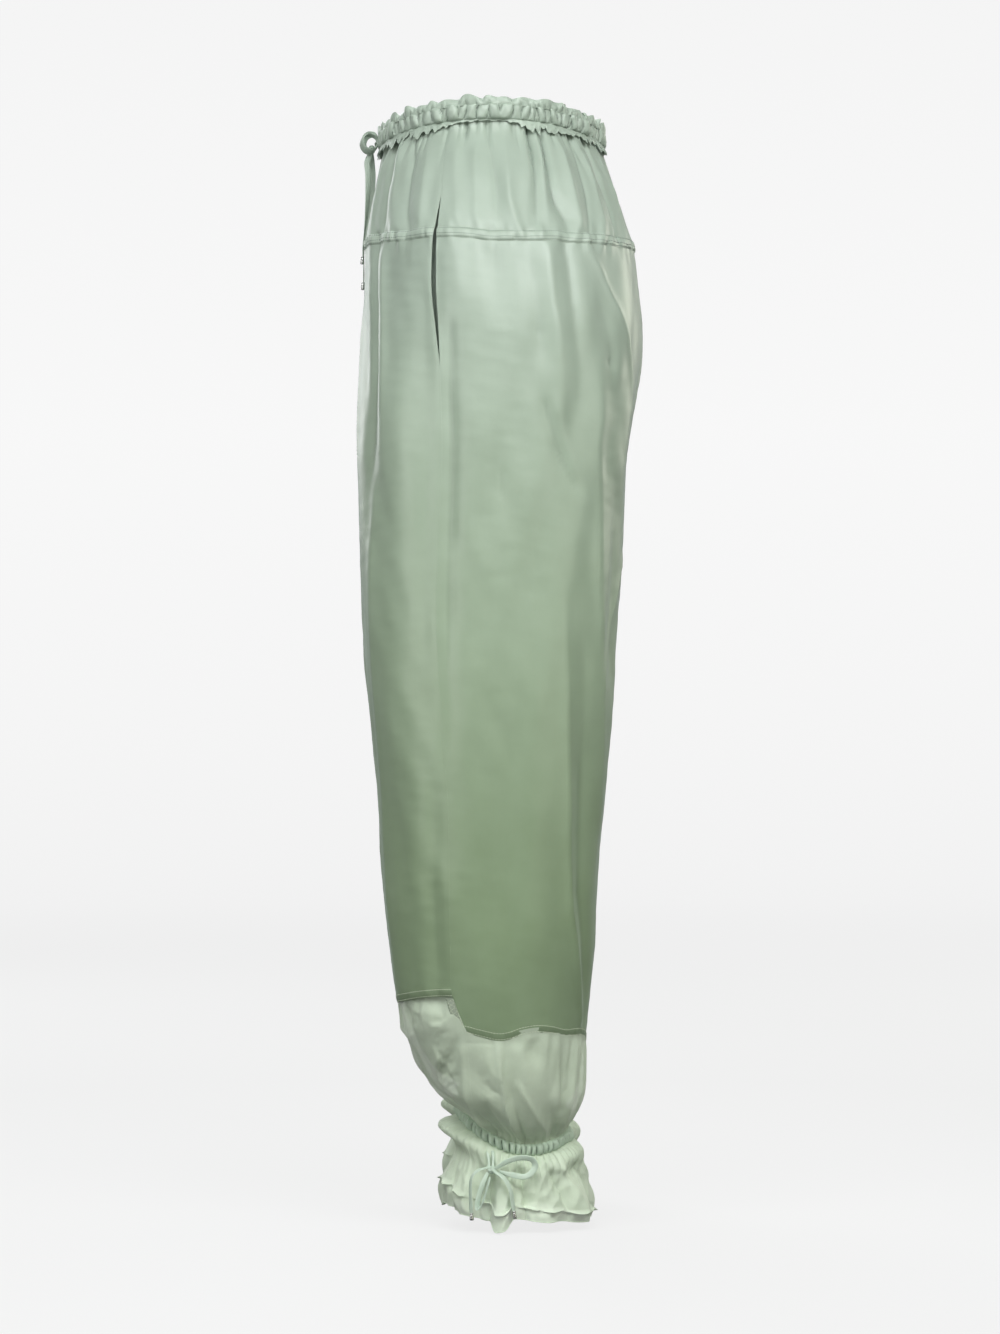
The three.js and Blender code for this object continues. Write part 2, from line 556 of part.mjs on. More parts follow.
function rufflePoint(side, theta, v) {
  let out = 0, drop = 0;
  for (const [deg, o, width, low] of RUFFLE_WAVES) {
    const g = Math.exp(-((wrap(theta - rad(deg)) / rad(width)) ** 2));
    out += o * g;
    drop += low * g;
  }
  const s = Math.sin(theta), free = -976 - 6 * Math.max(0, s) + 6 * Math.max(0, -s) - drop;
  const p = ankleRing(side, theta, 0, ANKLE_THICK * 0.6 + (13 + out - 3) * Math.pow(v, 0.65));
  p.z = lerp(ankleZ(theta) - ANKLE_HALF_HEIGHT - GAP, free, v);
  return p;
}
const RUFFLE_ROWS = [0, 0.3, 1];
function ankleRuffle(side) {
  const nu = 34;
  return wall({
    surf: (p, q) => rufflePoint(side, p, q),
    grid: (i, j) => [(i / nu) * 2 * Math.PI, Math.max(0.002, RUFFLE_ROWS[j])],
    nu, nv: RUFFLE_ROWS.length - 1, thick: SHEER, around: true, centre: (p) => new THREE.Vector3(side * ANKLE_CX, ANKLE_CY, p.z),
  });
}
for (const [side, word] of [[1, 'left'], [-1, 'right']]) {
  add(`hem_band_front_${word}`, hemBand(side, -1, 9), satin());
  add(`hem_band_back_${word}`, hemBand(side, 1, 12), satin());
  add(`cuff_front_${word}`, cuff(side, -1, 9), sheer());
  add(`cuff_back_${word}`, cuff(side, 1, 12), sheer());
  add(`ankle_casing_${word}`, ankleCasing(side), satin());
  add(`ankle_ruffle_${word}`, ankleRuffle(side), sheer());
}

// ---------------------------------------------------------------- ties: flat strips tied in a bow
function knot(name, at, size) {
  const g = new THREE.SphereGeometry(1, 8, 5);
  g.scale(...size);
  g.translate(...at);
  g.deleteAttribute('uv');
  g.deleteAttribute('normal');
  add(name, g, satin());
}
function tip(name, from, to) {
  const a = new THREE.Vector3(...from), b = new THREE.Vector3(...to);
  const g = new THREE.CylinderGeometry(1.5, 1.9, a.distanceTo(b), 8);
  g.applyQuaternion(new THREE.Quaternion().setFromUnitVectors(new THREE.Vector3(0, -1, 0), b.clone().sub(a).normalize()));
  const mid = a.lerp(b, 0.5);
  g.translate(mid.x, mid.y, mid.z);
  add(name, g, metal());
}

// waist tie: the knot sits in front of the casing's middle
const WAIST_KNOT = [0, -110.5, -13];
knot('waist_knot', WAIST_KNOT, [4.5, 3.2, 3.6]);
for (const [side, word] of [[1, 'left'], [-1, 'right']]) {
// the loop curls round an axis across the garment: a ring when seen from the side
  const ring = [
    // degrees  radius  x
    [-50, 6.0, 7.2], [-10, 6.2, 7.4], [30, 6.5, 7.6], [70, 6.8, 7.9], [110, 7.0, 8.2],
    [150, 7.2, 8.5], [190, 7.3, 8.7], [230, 7.4, 8.8], [265, 7.5, 8.4], [290, 7.6, 7.9],
  ];
  add(`waist_loop_${word}`, tie(
    ring.map(([deg, r, x]) => [side * x, -112.8 + r * Math.cos(rad(deg)), -8.4 + r * Math.sin(rad(deg))]),
    [0, 0.64, -0.77], 18), satin());
  // the tail hangs edge-on below the knot and turns flat against the cloth lower down
  add(`waist_tail_${word}`, tie([
    [side * 2.7, -111.6, -17.4], [side * 3.2, -112.6, -25], [side * 4.4, -111.8, -36], [side * 5.6, -112.2, -52], [side * 6.6, -114.2, -70],
    [side * 7.8, -116.6, -88], [side * 8.8, -118.3, -104], ...(side > 0 ? [] : [[side * 8.8, -118.2, -122]]), [side * 9, -118.3, side > 0 ? -112 : -134],
  ], [side, 0, 0], 16, TIE_WIDTH, TIE_THICK, side * -Math.PI / 2), satin());
  tip(`waist_tip_${word}`, [side * 9, -118.9, side > 0 ? -112.4 : -134.4], [side * 9, -119.0, side > 0 ? -119.4 : -141.4]);
}

// ankle ties: the bow sits on the outer side, under the casing, on the ruffle
for (const [side, word] of [[1, 'left'], [-1, 'right']]) {
  const X = (x) => side * x;
  knot(`ankle_knot_${word}`, [X(148.6), 0, -934.5], [3.2, 3.8, 3.4]);
  add(`ankle_strands_${word}`, tie([
    [X(139.4), -1.6, -919], [X(142.6), -1.1, -923], [X(145.6), -0.7, -929.8],
  ], [side, 0, 0], 4, 4, 1.2), satin());
  add(`ankle_loop_back_${word}`, tie([
    [X(150.2), 4.6, -932.6], [X(153), 14, -926.5], [X(154), 26, -923.2], [X(153.6), 36, -925], [X(153), 38.6, -931],
    [X(154.6), 31, -939.4], [X(153.6), 19, -938.6], [X(151.8), 8, -935.8],
  ], [side, 0, 0], 14), satin());
  add(`ankle_loop_front_${word}`, tie([
    [X(150.8), -4.2, -937.4], [X(154.2), -8.2, -947], [X(156.2), -12.0, -960], [X(157.6), -12.4, -968], [X(159.8), -9.4, -965],
    [X(158.6), -4.8, -952], [X(154.6), -2.0, -941],
  ], [side, 0, 0], 13), satin());
  add(`ankle_tail_back_${word}`, tie([
    [X(155.2), 3.4, -935.6], [X(157.0), 11, -941], [X(158.2), 16.6, -951], [X(158.8), 18.6, -963], [X(158.8), 19.6, -969.5],
  ], [side, 0, 0], 7), satin());
  tip(`ankle_tip_back_${word}`, [X(158.8), 19.65, -969.9], [X(158.8), 20.6, -976.4]);
  add(`ankle_tail_front_${word}`, tie([
    [X(149.2), -5.4, -931.8], [X(151.0), -12, -934.6], [X(151.6), -17.6, -940.6], [X(152.2), -18.8, -952], [X(152.8), -18.4, -966], [X(152.8), -18, -972],
  ], [side, 0, 0], 8), satin());
  tip(`ankle_tip_front_${word}`, [X(152.8), -17.95, -972.4], [X(152.8), -17.5, -978.6]);
}

export default pants;
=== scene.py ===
"""Balloon pants: satin legs and yoke, sheer cuffs and hem ruffles, gathered casings and flat ties.

Lengths in the tables are millimetres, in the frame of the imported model, and angles are degrees about the
middle of a leg: 0 is the outer side, negative is the front. Meshes are scaled to metres when they are made.
"""
import json
import math

import bpy
import numpy as np
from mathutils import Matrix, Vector

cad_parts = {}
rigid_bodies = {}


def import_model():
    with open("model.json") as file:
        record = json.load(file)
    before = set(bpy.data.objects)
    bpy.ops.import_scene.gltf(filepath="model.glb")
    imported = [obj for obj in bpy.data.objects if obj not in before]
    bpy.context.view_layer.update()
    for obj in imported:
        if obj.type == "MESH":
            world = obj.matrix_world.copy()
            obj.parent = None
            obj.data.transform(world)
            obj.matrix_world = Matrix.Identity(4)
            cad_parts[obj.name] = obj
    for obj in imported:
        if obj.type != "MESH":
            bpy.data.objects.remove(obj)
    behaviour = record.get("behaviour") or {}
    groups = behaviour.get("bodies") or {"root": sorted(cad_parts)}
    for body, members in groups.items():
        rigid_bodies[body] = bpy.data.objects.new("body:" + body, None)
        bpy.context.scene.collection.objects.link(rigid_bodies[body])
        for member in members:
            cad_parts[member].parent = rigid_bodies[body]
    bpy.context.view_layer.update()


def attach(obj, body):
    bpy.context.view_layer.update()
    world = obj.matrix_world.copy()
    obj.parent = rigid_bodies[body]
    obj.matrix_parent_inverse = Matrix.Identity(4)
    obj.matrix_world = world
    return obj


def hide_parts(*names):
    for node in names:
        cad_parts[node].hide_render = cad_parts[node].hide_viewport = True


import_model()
scene = bpy.context.scene
PI = math.pi
R = PI / 180.0

# ------------------------------------------------------------------ camera first
cam_data = bpy.data.cameras.new("camera")
cam_data.sensor_width = 36.0
cam_data.sensor_fit = "AUTO"
cam_data.lens = 117.33
cam_data.clip_end = 60.0
cam = bpy.data.objects.new("camera", cam_data)
scene.collection.objects.link(cam)
cam.location = (4.0, 0.0074, -0.489)
cam.rotation_euler = (90 * R, 0.0, 90 * R)
scene.camera = cam
scene.view_settings.view_transform = "Standard"
scene.view_settings.look = "None"
scene.view_settings.exposure = 0.0
scene.view_settings.gamma = 1.0


# ------------------------------------------------------------------ small helpers
def smooth(x):
    s = np.clip(x, 0.0, 1.0)
    return s * s * (3.0 - 2.0 * s)


def lerp(a, b, f):
    return a + (b - a) * f


def wrap(t):
    return np.arctan2(np.sin(t), np.cos(t))


def read(table, key, column):
    """Smooth reading of a table by its first column."""
    t = table[np.argsort(table[:, 0])]
    x, y, n = t[:, 0], t[:, column], len(t)
    lo, hi = np.clip(np.arange(n) - 1, 0, n - 1), np.clip(np.arange(n) + 1, 0, n - 1)
    m = (y[hi] - y[lo]) / (x[hi] - x[lo])
    key = np.asarray(key, float)
    i = np.clip(np.searchsorted(x, key, side="right") - 1, 0, n - 2)
    h = x[i + 1] - x[i]
    s = np.clip((key - x[i]) / h, 0, 1)
    s2, s3 = s * s, s * s * s
    return ((2 * s3 - 3 * s2 + 1) * y[i] + (s3 - 2 * s2 + s) * m[i] * h
            + (-2 * s3 + 3 * s2) * y[i + 1] + (s3 - s2) * m[i + 1] * h)


# ------------------------------------------------------------------ the garment's form
GAP = 0.3
WAIST_HALF_WIDTH, WAIST_HALF_DEPTH = 120.5, 100.0
CASING_HALF_HEIGHT, CASING_THICK = 6.5, 4.4
HEADING_HEIGHT, SELVAGE_DROP = 7.0, 11.0
BAND_HALF_HEIGHT, HEM_HALF_HEIGHT = 4.2, 3.6
SLIT_TOP_Z, SLIT_END_Z, SLIT_OPEN = -70.0, -224.0, 3.4
POCKET_DEPTH_Z = -300.0
ANKLE_CX, ANKLE_CY, ANKLE_HALF_WIDTH, ANKLE_HALF_DEPTH = 92.0, 20.0, 43.0, 47.5
ANKLE_HALF_HEIGHT, ANKLE_THICK = 4.8, 3.6

# z, outer side x, leg centre x, front y, back y, squareness
SECTIONS = np.array([
    [20, 119.5, 0, -100, 100, 2.0], [-8, 122, 0, -101, 101, 2.0], [-32, 138, 4, -105, 107.5, 2.1],
    [-62, 157, 11, -110, 116.5, 2.2], [-106, 179, 24, -115.2, 128, 2.3], [-150, 190, 42, -116.5, 133, 2.3],
    [-181, 195, 56, -116.5, 135, 2.3], [-215, 198, 71, -117, 133, 2.3], [-250, 201, 86, -118, 128, 2.3],
    [-280, 203, 97, -118.3, 123.5, 2.3], [-304, 204.5, 102.7, -118.3, 120.5, 2.3],
    [-340, 207, 104.5, -117.5, 118, 2.3], [-404, 211, 107, -117.4, 115.2, 2.3],
    [-468, 214, 108.6, -114.7, 111.6, 2.3], [-522, 214.5, 109, -111, 109, 2.3],
    [-565, 213, 108.5, -106.6, 105.3, 2.3], [-608, 210, 107.5, -102.2, 101.7, 2.3],
    [-652, 206, 105.5, -99.5, 97.2, 2.3], [-695, 201, 103.5, -96.8, 94.5, 2.3],
    [-738, 195, 101, -92.3, 92.7, 2.2], [-781, 187, 98, -86.5, 88, 2.2], [-820, 178, 95.5, -77.5, 84, 2.2],
], float)
SIDE_SEAM = np.array([
    [20, -20], [-8, -20], [-68, -19.3], [-106, -21], [-181, -24], [-300, -25], [-468, -25],
    [-652, -20.6], [-775, -23.3], [-820, -23.3],
], float)


def section(z):
    out, cx = read(SECTIONS, z, 1), read(SECTIONS, z, 2)
    front, back = read(SECTIONS, z, 3), read(SECTIONS, z, 4)
    return cx, out - cx, (front + back) / 2, (back - front) / 2, read(SECTIONS, z, 5)


def side_seam(z):
    return read(SIDE_SEAM, z, 1) * R + 6.1 * R * np.clip((-775 - z) / 32.0, 0, 1)


def waist_z(t):
    return 7.0 * np.cos(2 * t)


SEAM_SWAY = np.array([(-180, 0), (-75, 0.2), (-62, 0.6), (-48, 1.2), (-35, 0.4), (-24, 2.4), (-16, 2.4), (-9, 1.2), (-4, -1.0),
                      (14, -1.3), (19, -0.5), (24, -2.1), (45, -2.3), (50, -3.0), (62, -2.3), (75, -2.4), (100, -1.0),
                      (125, -1.8), (150, -0.6), (180, 0)], float)


def yoke_seam_z(t):
    sway = np.interp(np.asarray(t) / R, SEAM_SWAY[:, 0], SEAM_SWAY[:, 1])
    return -104.5 - 4.0 * np.maximum(0, np.cos(t)) ** 2 + sway


def front_hem_z(t):
    return -775 - 11 * smooth((-23 * R - t) / (67 * R))


HEM_SWAY = np.array([(-180, 0), (-40, 1.0), (-21, 2.8), (-10, -1.6), (2, -4.6), (9, -2.8), (16, 0.4), (26, 1.9), (36, 0.4), (46, -2.4),
                     (57, -0.6), (68, 1.4), (85, 0.2), (108, -1.6), (135, 1.4), (160, 0.2), (180, 0)], float)


def back_hem_z(t):
    return (-808 - 5 * smooth((t + 16 * R) / (30 * R)) + 4 * np.sin(25 * R + t * 2.2)
            - 5 * smooth((t - 40 * R) / (60 * R)) + read(HEM_SWAY, np.asarray(t) / R, 1))


def ankle_z(t):
    return -904.2 - 6 * np.cos(t) - 10.5 * np.sin(t) - 6.8 * np.cos(2 * t)


def slit_open(z):
    f = (SLIT_TOP_Z - z) / (SLIT_TOP_Z - SLIT_END_Z)
    return np.where((f > 0) & (f < 1), SLIT_OPEN * np.sin(PI * np.clip(f, 0, 1)), 0.0)


def edge_angle(z, end):
    """Angle at which a half meets the middle plane, or closes on the inner leg."""
    cx, a, cy, b, n = section(z)
    k = np.clip(cx / a, 0, 1)
    y = b * np.maximum(1 - k ** n, 0) ** (1 / n)
    t = np.arctan2(np.maximum(y, 0.1), -cx + 0.15)
    return end * np.where(cx < a * 0.9999, t, PI - 0.15 / a)


# ------------------------------------------------------------------ folds, listed one by one
# Each fold is a line down the cloth: rows of (z, angle, depth, half width in mm). The last number is how
# sharp its profile is: 2 is round, 1.2 is pinched. Negative depths are troughs.
YOKE_FOLDS = [
    ([(-8, -78, -1.5, 3), (-40, -78, -2.2, 4), (-100, -80, -0.6, 6)], 1.5),
    ([(-8, -67, -2.5, 2.6), (-20, -67, -3.4, 3.2), (-60, -67.5, -3.0, 3.8), (-100, -68, -1.6, 5)], 1.4),
    ([(-10, -60, 0.6, 3), (-35, -61, 1.8, 3.6), (-90, -61, 1.8, 5), (-112, -60, 0.6, 6)], 2),
    ([(-4, -54, -2.0, 2.4), (-12, -53.8, -5.2, 3.2), (-30, -53, -5.6, 4.0), (-55, -51.3, -4.4, 4.6),
      (-82, -50.6, -4.6, 4.8), (-112, -51, -4.4, 5)], 1.5),
    ([(-8, -46, 0.8, 4), (-24, -45.5, 2.0, 5), (-55, -44, 1.2, 7), (-90, -42, 0.2, 8)], 2),
    ([(-4, -37.5, -2.2, 2.2), (-16, -37.3, -2.0, 2.8), (-40, -35, -1.8, 4.6), (-62, -35, -2.7, 7),
      (-90, -35, -2.4, 8), (-112, -34, -0.5, 9)], 1.8),
    ([(-8, -30, -1.8, 2.0), (-20, -30, -1.0, 2.6), (-34, -30, 0, 3)], 1.3),
    ([(-30, -27, 0.4, 5), (-66, -27, 1.6, 6), (-100, -27, 1.0, 7)], 2),
    ([(-4, -11.4, -2.4, 2.2), (-12, -11.3, -2.2, 2.6), (-22, -11, 0, 3)], 1.3),
    ([(-10, -15, 0.4, 4), (-40, -14, 1.6, 6), (-90, -14, 0.8, 8)], 2),
    ([(-18, -6.6, 0.5, 4), (-34, -6.5, 1.5, 5), (-89, -7.2, 1.8, 6), (-105, -7, 0.4, 7)], 1.8),
    ([(-5, -2.4, -2.2, 2.2), (-16, -2.0, -1.4, 3), (-30, -0.5, -1.4, 4), (-60, 0.6, -2.4, 5),
      (-100, 0.1, -2.0, 6.5)], 1.7),
    ([(-12, 5.0, 0.6, 4), (-40, 4.6, 1.5, 5), (-74, 4.5, 2.4, 5.5), (-102, 6.0, 2.0, 6)], 1.8),
    ([(-6, 10.4, -1.6, 2.2), (-22, 10.4, -1.3, 3), (-40, 10.2, 0, 4)], 1.4),
    ([(-4, 16, -3.0, 2.0), (-12, 15.9, -4.6, 2.5), (-32, 16, -4.9, 2.9), (-57, 14.7, -3.4, 3.4),
      (-81, 13.4, -2.0, 4.4), (-106, 12.4, -0.5, 6)], 1.35),
    ([(-14, 19.0, 0.8, 2.4), (-40, 18.4, 2.0, 3.2), (-70, 17.0, 1.4, 4.5), (-90, 17, 0.2, 5)], 2),
    ([(-6, 22.4, -2.2, 2.0), (-21, 21.9, -4.0, 2.6), (-42, 21.2, -3.6, 3.0), (-66, 20.6, -3.6, 4.0),
      (-80, 21.6, -4.8, 6.0), (-92, 23.6, -4.0, 7.0), (-106, 24.5, -1.0, 7.5)], 1.5),
    ([(-10, 29.6, 1.2, 4), (-30, 29.4, 2.6, 5), (-60, 28.6, 3.2, 6), (-90, 29, 2.6, 6.5), (-112, 29, 0.6, 8)], 1.9),
    ([(-4, 38.6, -2.6, 2.2), (-16, 38.4, -3.0, 2.6), (-40, 37.3, -2.8, 3.0), (-70, 36, -2.2, 3.6),
      (-105, 32.7, -1.4, 4.6)], 1.35),
    ([(-14, 43, 0.8, 3), (-50, 42.5, 2.4, 4.4), (-90, 41, 2.6, 6), (-108, 40, 0.8, 7)], 2),
    ([(-6, 49.4, -3.0, 2.6), (-16, 49.7, -4.6, 3.2), (-46, 50.7, -4.6, 3.8), (-78, 51.8, -3.2, 4.6),
      (-104, 50.8, -1.8, 6)], 1.4),
    ([(-20, 60, 0.8, 4), (-60, 61, 2.6, 6), (-100, 60, 1.6, 7)], 2),
    ([(-6, 72, -2.4, 2.4), (-24, 72, -2.2, 3.2), (-50, 70, -0.8, 4.5)], 1.4),
    ([(-8, 89, -2.4, 2.6), (-30, 87, -3.4, 3.6), (-58, 83, -3.0, 4.4), (-98, 76, -1.2, 6)], 1.4),
]
LEG_FOLDS = [
    # the front: a rolled edge beside a long trough that fades at mid thigh
    ([(-100, -76, -0.5, 10), (-130, -74, -1.5, 12), (-200, -73, -2.0, 14), (-270, -71, -1.5, 16), (-350, -70, 0, 18)], 2),
    ([(-98, -55, -3.5, 5), (-120, -55.5, -8.0, 6), (-200, -60, -8.5, 7.5), (-270, -64, -5.0, 9), (-350, -67, 0, 11)], 1.9),
    ([(-104, -47, 1.0, 5), (-130, -48, 3.0, 5.5), (-200, -51.5, 3.2, 6.5), (-270, -55.5, 2.0, 8), (-340, -58, 0, 10)], 1.7),
    ([(-200, -44, 0, 16), (-280, -45, 2.0, 18), (-420, -46, 1.6, 18), (-520, -46, 0, 18)], 2),
    ([(-160, -31, 0, 10), (-240, -31, -1.8, 12), (-360, -31, -2.8, 13), (-470, -31, -2.2, 13), (-560, -31, 0, 13)], 2),
    ([(-300, -62, 0, 6), (-380, -63, 1.8, 7), (-520, -65, 1.6, 7), (-700, -68, 1.4, 7), (-780, -70, 0.6, 7)], 1.8),
    # the trough that runs behind the side seam, and the raised seam itself
    ([(-170, -18.5, 0, 5), (-200, -19.6, -3.0, 6), (-255, -20.6, -4.6, 7.5), (-343, -20.0, -4.8, 8),
      (-431, -19.6, -4.0, 8), (-500, -19.8, -2.4, 8), (-580, -18, 0, 8)], 1.7),
    ([(-106, -14, 1.2, 9), (-150, -14, 1.8, 11), (-200, -12, 0, 12)], 2),
    ([(-104, -3, -0.8, 10), (-130, -2.6, -2.0, 12), (-160, -2, -1.4, 13), (-200, -1, 0, 14)], 2),
    ([(-220, -6, 0, 22), (-290, -5, 2.2, 24), (-380, -3, 2.0, 24), (-470, 0, 0, 24)], 2),
    # seat: a ridge and trough under the yoke, then the long curved fold and its lower dent
    ([(-104, 14, 1.2, 6), (-122, 16.3, 2.6, 6), (-167, 17.9, 3.0, 6.5), (-207, 22.1, 3.0, 7), (-250, 27.8, 1.4, 8),
      (-290, 33, 0, 9)], 1.7),
    ([(-104, 9, -0.6, 7), (-140, 10.5, -2.0, 8), (-190, 14, -1.6, 8), (-240, 19, 0, 8)], 2),
    ([(-104, 22, -1.0, 6), (-126, 23.2, -3.4, 7), (-167, 25.5, -4.0, 8), (-206, 30, -3.4, 9), (-250, 37, -1.6, 10),
      (-290, 42, 0, 10)], 1.9),
    ([(-112, 31.5, 0.6, 4), (-126, 33.7, 2.6, 4.5), (-160, 43.1, 3.0, 5), (-190, 54.5, 2.6, 6), (-220, 65, 2.2, 6.5),
      (-252, 75, 1.4, 7), (-290, 84, 0, 8)], 1.5),
    ([(-150, 34, 0, 8), (-185, 42, -1.8, 9), (-214, 49, -3.0, 9), (-240, 53, -1.2, 10), (-275, 58, 0, 12)], 2),
    ([(-214, 47.5, 0, 4), (-219, 48.9, -1.6, 4.5), (-226, 50, 0, 4)], 2),
    ([(-245, 19.5, 0, 3.5), (-262, 22.5, -1.7, 4), (-299, 31.1, -2.4, 5), (-325, 38.5, -1.8, 5), (-346, 44.5, 0, 5)], 1.4),
    ([(-246, 25, 0, 5), (-270, 29.5, 1.4, 6), (-305, 38, 1.8, 7), (-336, 45, 0.6, 7), (-352, 49, 0, 7)], 1.8),
    ([(-312, 4.0, 0, 2.6), (-320, 5.2, -1.0, 3), (-336, 4.9, -0.9, 3), (-346, 6.5, 0, 3)], 1.3),
    # the long soft ridge near the back, with the cloth falling away behind it
    ([(-220, 43, 0, 7), (-270, 50, 2.0, 8), (-324, 54.1, 3.0, 8), (-430, 56.3, 3.2, 8), (-515, 60.4, 2.4, 8),
      (-618, 66.9, 1.2, 8), (-700, 72, 0, 8)], 1.8),
    ([(-300, 68, 0, 12), (-360, 70, -3.4, 14), (-460, 71, -3.6, 14), (-540, 74, 0, 14)], 2),
    ([(-376, 90, 0, 4), (-400, 85, 1.6, 4.5), (-447, 72, 1.9, 5), (-500, 62, 1.2, 5), (-530, 59, 0, 5)], 1.5),
    # the lower fold: a rolled edge swinging to the back hem and the shade beside it
    ([(-420, 35, 0, 5), (-470, 36.4, 1.6, 6), (-540, 37.2, 3.0, 6), (-639, 40.3, 4.0, 6), (-705, 44.3, 4.2, 6),
      (-749, 51.7, 3.8, 6), (-800, 63.5, 2.4, 6)], 1.6),
    ([(-440, 46, 0, 10), (-500, 47, -2.4, 11), (-600, 49, -5.0, 12), (-690, 53.5, -5.6, 11), (-745, 62, -4.6, 10),
      (-800, 74, -2.4, 10)], 1.9),
    ([(-540, 20, 0, 16), (-620, 21, 1.4, 18), (-720, 22, 1.2, 18), (-790, 22, 0, 18)], 2),
    ([(-500, 10, 0, 10), (-560, 10, -1.2, 12), (-700, 8, -1.4, 12), (-780, 8, 0, 12)], 2),
    ([(-560, -8, 0, 14), (-640, -8, 1.5, 14), (-760, -8, 1.6, 12), (-800, -8, 0.6, 12)], 2),
    # before the side seam, low down: the front panel turns in, and the seam stands up
    ([(-560, -30, 0, 9), (-640, -29, -2.2, 10), (-720, -30.5, -3.6, 10), (-782, -31.5, -3.0, 10)], 2),
    ([(-560, -48, 0, 14), (-680, -50, -1.6, 14), (-780, -52, -1.0, 14)], 2),
]
# folds that the photograph's side does not show: fronts and backs of the legs, and the inner thighs
HIDDEN_FOLDS = [
    ([(-106, -95, -0.8, 7), (-150, -97, -3.6, 9), (-230, -100, -4.4, 11), (-330, -101, -2.0, 13), (-400, -101, 0, 13)], 1.8),
    ([(-140, -88, 0, 7), (-200, -88, 2.4, 8), (-300, -88, 2.4, 9), (-430, -88, 0, 10)], 1.9),
    ([(-240, -112, 0, 8), (-300, -112, 2.4, 9), (-430, -110, 2.8, 10), (-560, -109, 0, 10)], 1.8),
    ([(-270, -150, 0, 6), (-292, -142, -3.0, 7), (-330, -128, -3.4, 9), (-380, -118, -1.4, 10), (-430, -112, 0, 10)], 1.6),
    ([(-330, -124, 0, 9), (-420, -126, -3.2, 11), (-560, -127, -4.0, 12), (-680, -126, -2.4, 12), (-760, -126, 0, 12)], 1.9),
    ([(-300, -158, 0, 7), (-340, -150, 2.4, 8), (-420, -143, 3.0, 9), (-560, -141, 2.2, 10), (-700, -140, 0, 10)], 1.7),
    ([(-460, -85, 0, 9), (-560, -86, -2.6, 11), (-700, -88, -3.4, 11), (-785, -90, -1.8, 10)], 1.9),
    ([(-560, -104, 0, 8), (-660, -104, 2.8, 8), (-785, -105, 2.4, 8)], 1.8),
    ([(-106, 97, -0.8, 7), (-160, 100, -3.4, 9), (-240, 104, -4.6, 12), (-330, 108, -3.0, 13), (-420, 110, 0, 13)], 1.8),
    ([(-150, 92, 0, 8), (-220, 93, 2.6, 9), (-330, 96, 2.4, 10), (-460, 97, 0, 10)], 1.8),
    ([(-262, 148, 0, 6), (-290, 140, -3.4, 7), (-330, 126, -4.0, 9), (-370, 115, -2.2, 10), (-420, 106, 0, 10)], 1.6),
    ([(-300, 156, 0, 7), (-350, 148, 2.6, 8), (-450, 142, 3.0, 9), (-600, 140, 2.0, 10), (-720, 140, 0, 10)], 1.7),
    ([(-330, 126, 0, 10), (-430, 127, -3.4, 12), (-580, 129, -4.4, 13), (-720, 130, -2.4, 12), (-800, 131, 0, 12)], 1.9),
    ([(-520, 98, 0, 9), (-620, 98, -2.8, 10), (-740, 99, -3.6, 10), (-805, 101, -2.0, 9)], 1.9),
    ([(-560, 113, 0, 8), (-680, 113, 3.0, 8), (-805, 114, 2.6, 8)], 1.8),
    ([(-300, 172, 0, 6), (-360, 168, -2.0, 7), (-470, 165, -2.4, 8), (-600, 163, 0, 8)], 1.8),
    ([(-300, -172, 0, 6), (-360, -168, -2.0, 7), (-500, -165, -2.2, 8), (-620, -163, 0, 8)], 1.8),
]


def varied(folds, seed):
    """The same kind of folds for the other leg: moved, and of other depths and lengths."""
    g = np.random.default_rng(seed)
    out = []
    for rows, sharp in folds:
        turn, deep, slide = g.uniform(-3.2, 3.2), g.uniform(0.72, 1.2), g.uniform(-9, 9)
        lean = g.uniform(-0.012, 0.012)
        z0 = rows[0][0]
        new = []
        for z, t, d, w in rows:
            nz = z if z > -14 else z + slide * min(1.0, (-14 - z) / 60.0)
            new.append((nz, t + turn + lean * (z0 - z), d * deep, w * g.uniform(0.9, 1.12)))
        new.sort(key=lambda r: -r[0])
        out.append((new, sharp))
    return out


def fold_sum(folds, th, z, radius, crisp=0.88):
    """Sum of the folds at angles and heights: arrays in, millimetres out."""
    total = np.zeros(np.broadcast(th, z).shape)
    for rows, sharp in folds:
        zs = np.array([r[0] for r in rows], float)
        top, low = zs.max(), zs.min()
        m = (z <= top + 12) & (z >= low - 14)
        if not m.any():
            continue
        zz, tt, rr = z[m], th[m], radius[m]
        order = np.argsort(zs)
        xs = zs[order]

        def col(k):
            v = np.array([rows[i][k] for i in order], float)
            i = np.clip(np.searchsorted(xs, zz, side="right") - 1, 0, len(xs) - 2)
            f = smooth((zz - xs[i]) / (xs[i + 1] - xs[i]))
            return v[i] + (v[i + 1] - v[i]) * f
        centre = np.interp(zz, xs, np.array([rows[i][1] for i in order], float)) * R
        depth, width = col(2), col(3)
        depth = depth * smooth((top + 12 - zz) / 12) * smooth((zz - low + 14) / 14)
        d = np.abs(wrap(tt - centre)) * rr / width
        total[m] += depth * np.exp(-d ** (sharp * crisp))
    return total


def waves(s, z, seed, reach_s, reach_z, count=9):
    """Soft noise, about -1 to 1, from sine waves of mixed directions. Reaches are wave lengths in mm."""
    g = np.random.default_rng(seed)
    total = np.zeros(np.broadcast(s, z).shape)
    for _ in range(count):
        ks = 2 * PI / (reach_s * g.uniform(0.7, 1.6)) * g.choice([-1, 1])
        kz = 2 * PI / (reach_z * g.uniform(0.7, 1.6)) * g.choice([-1, 1])
        total += np.sin(ks * s + kz * z + g.uniform(0, 2 * PI))
    return total / math.sqrt(count) * 0.75


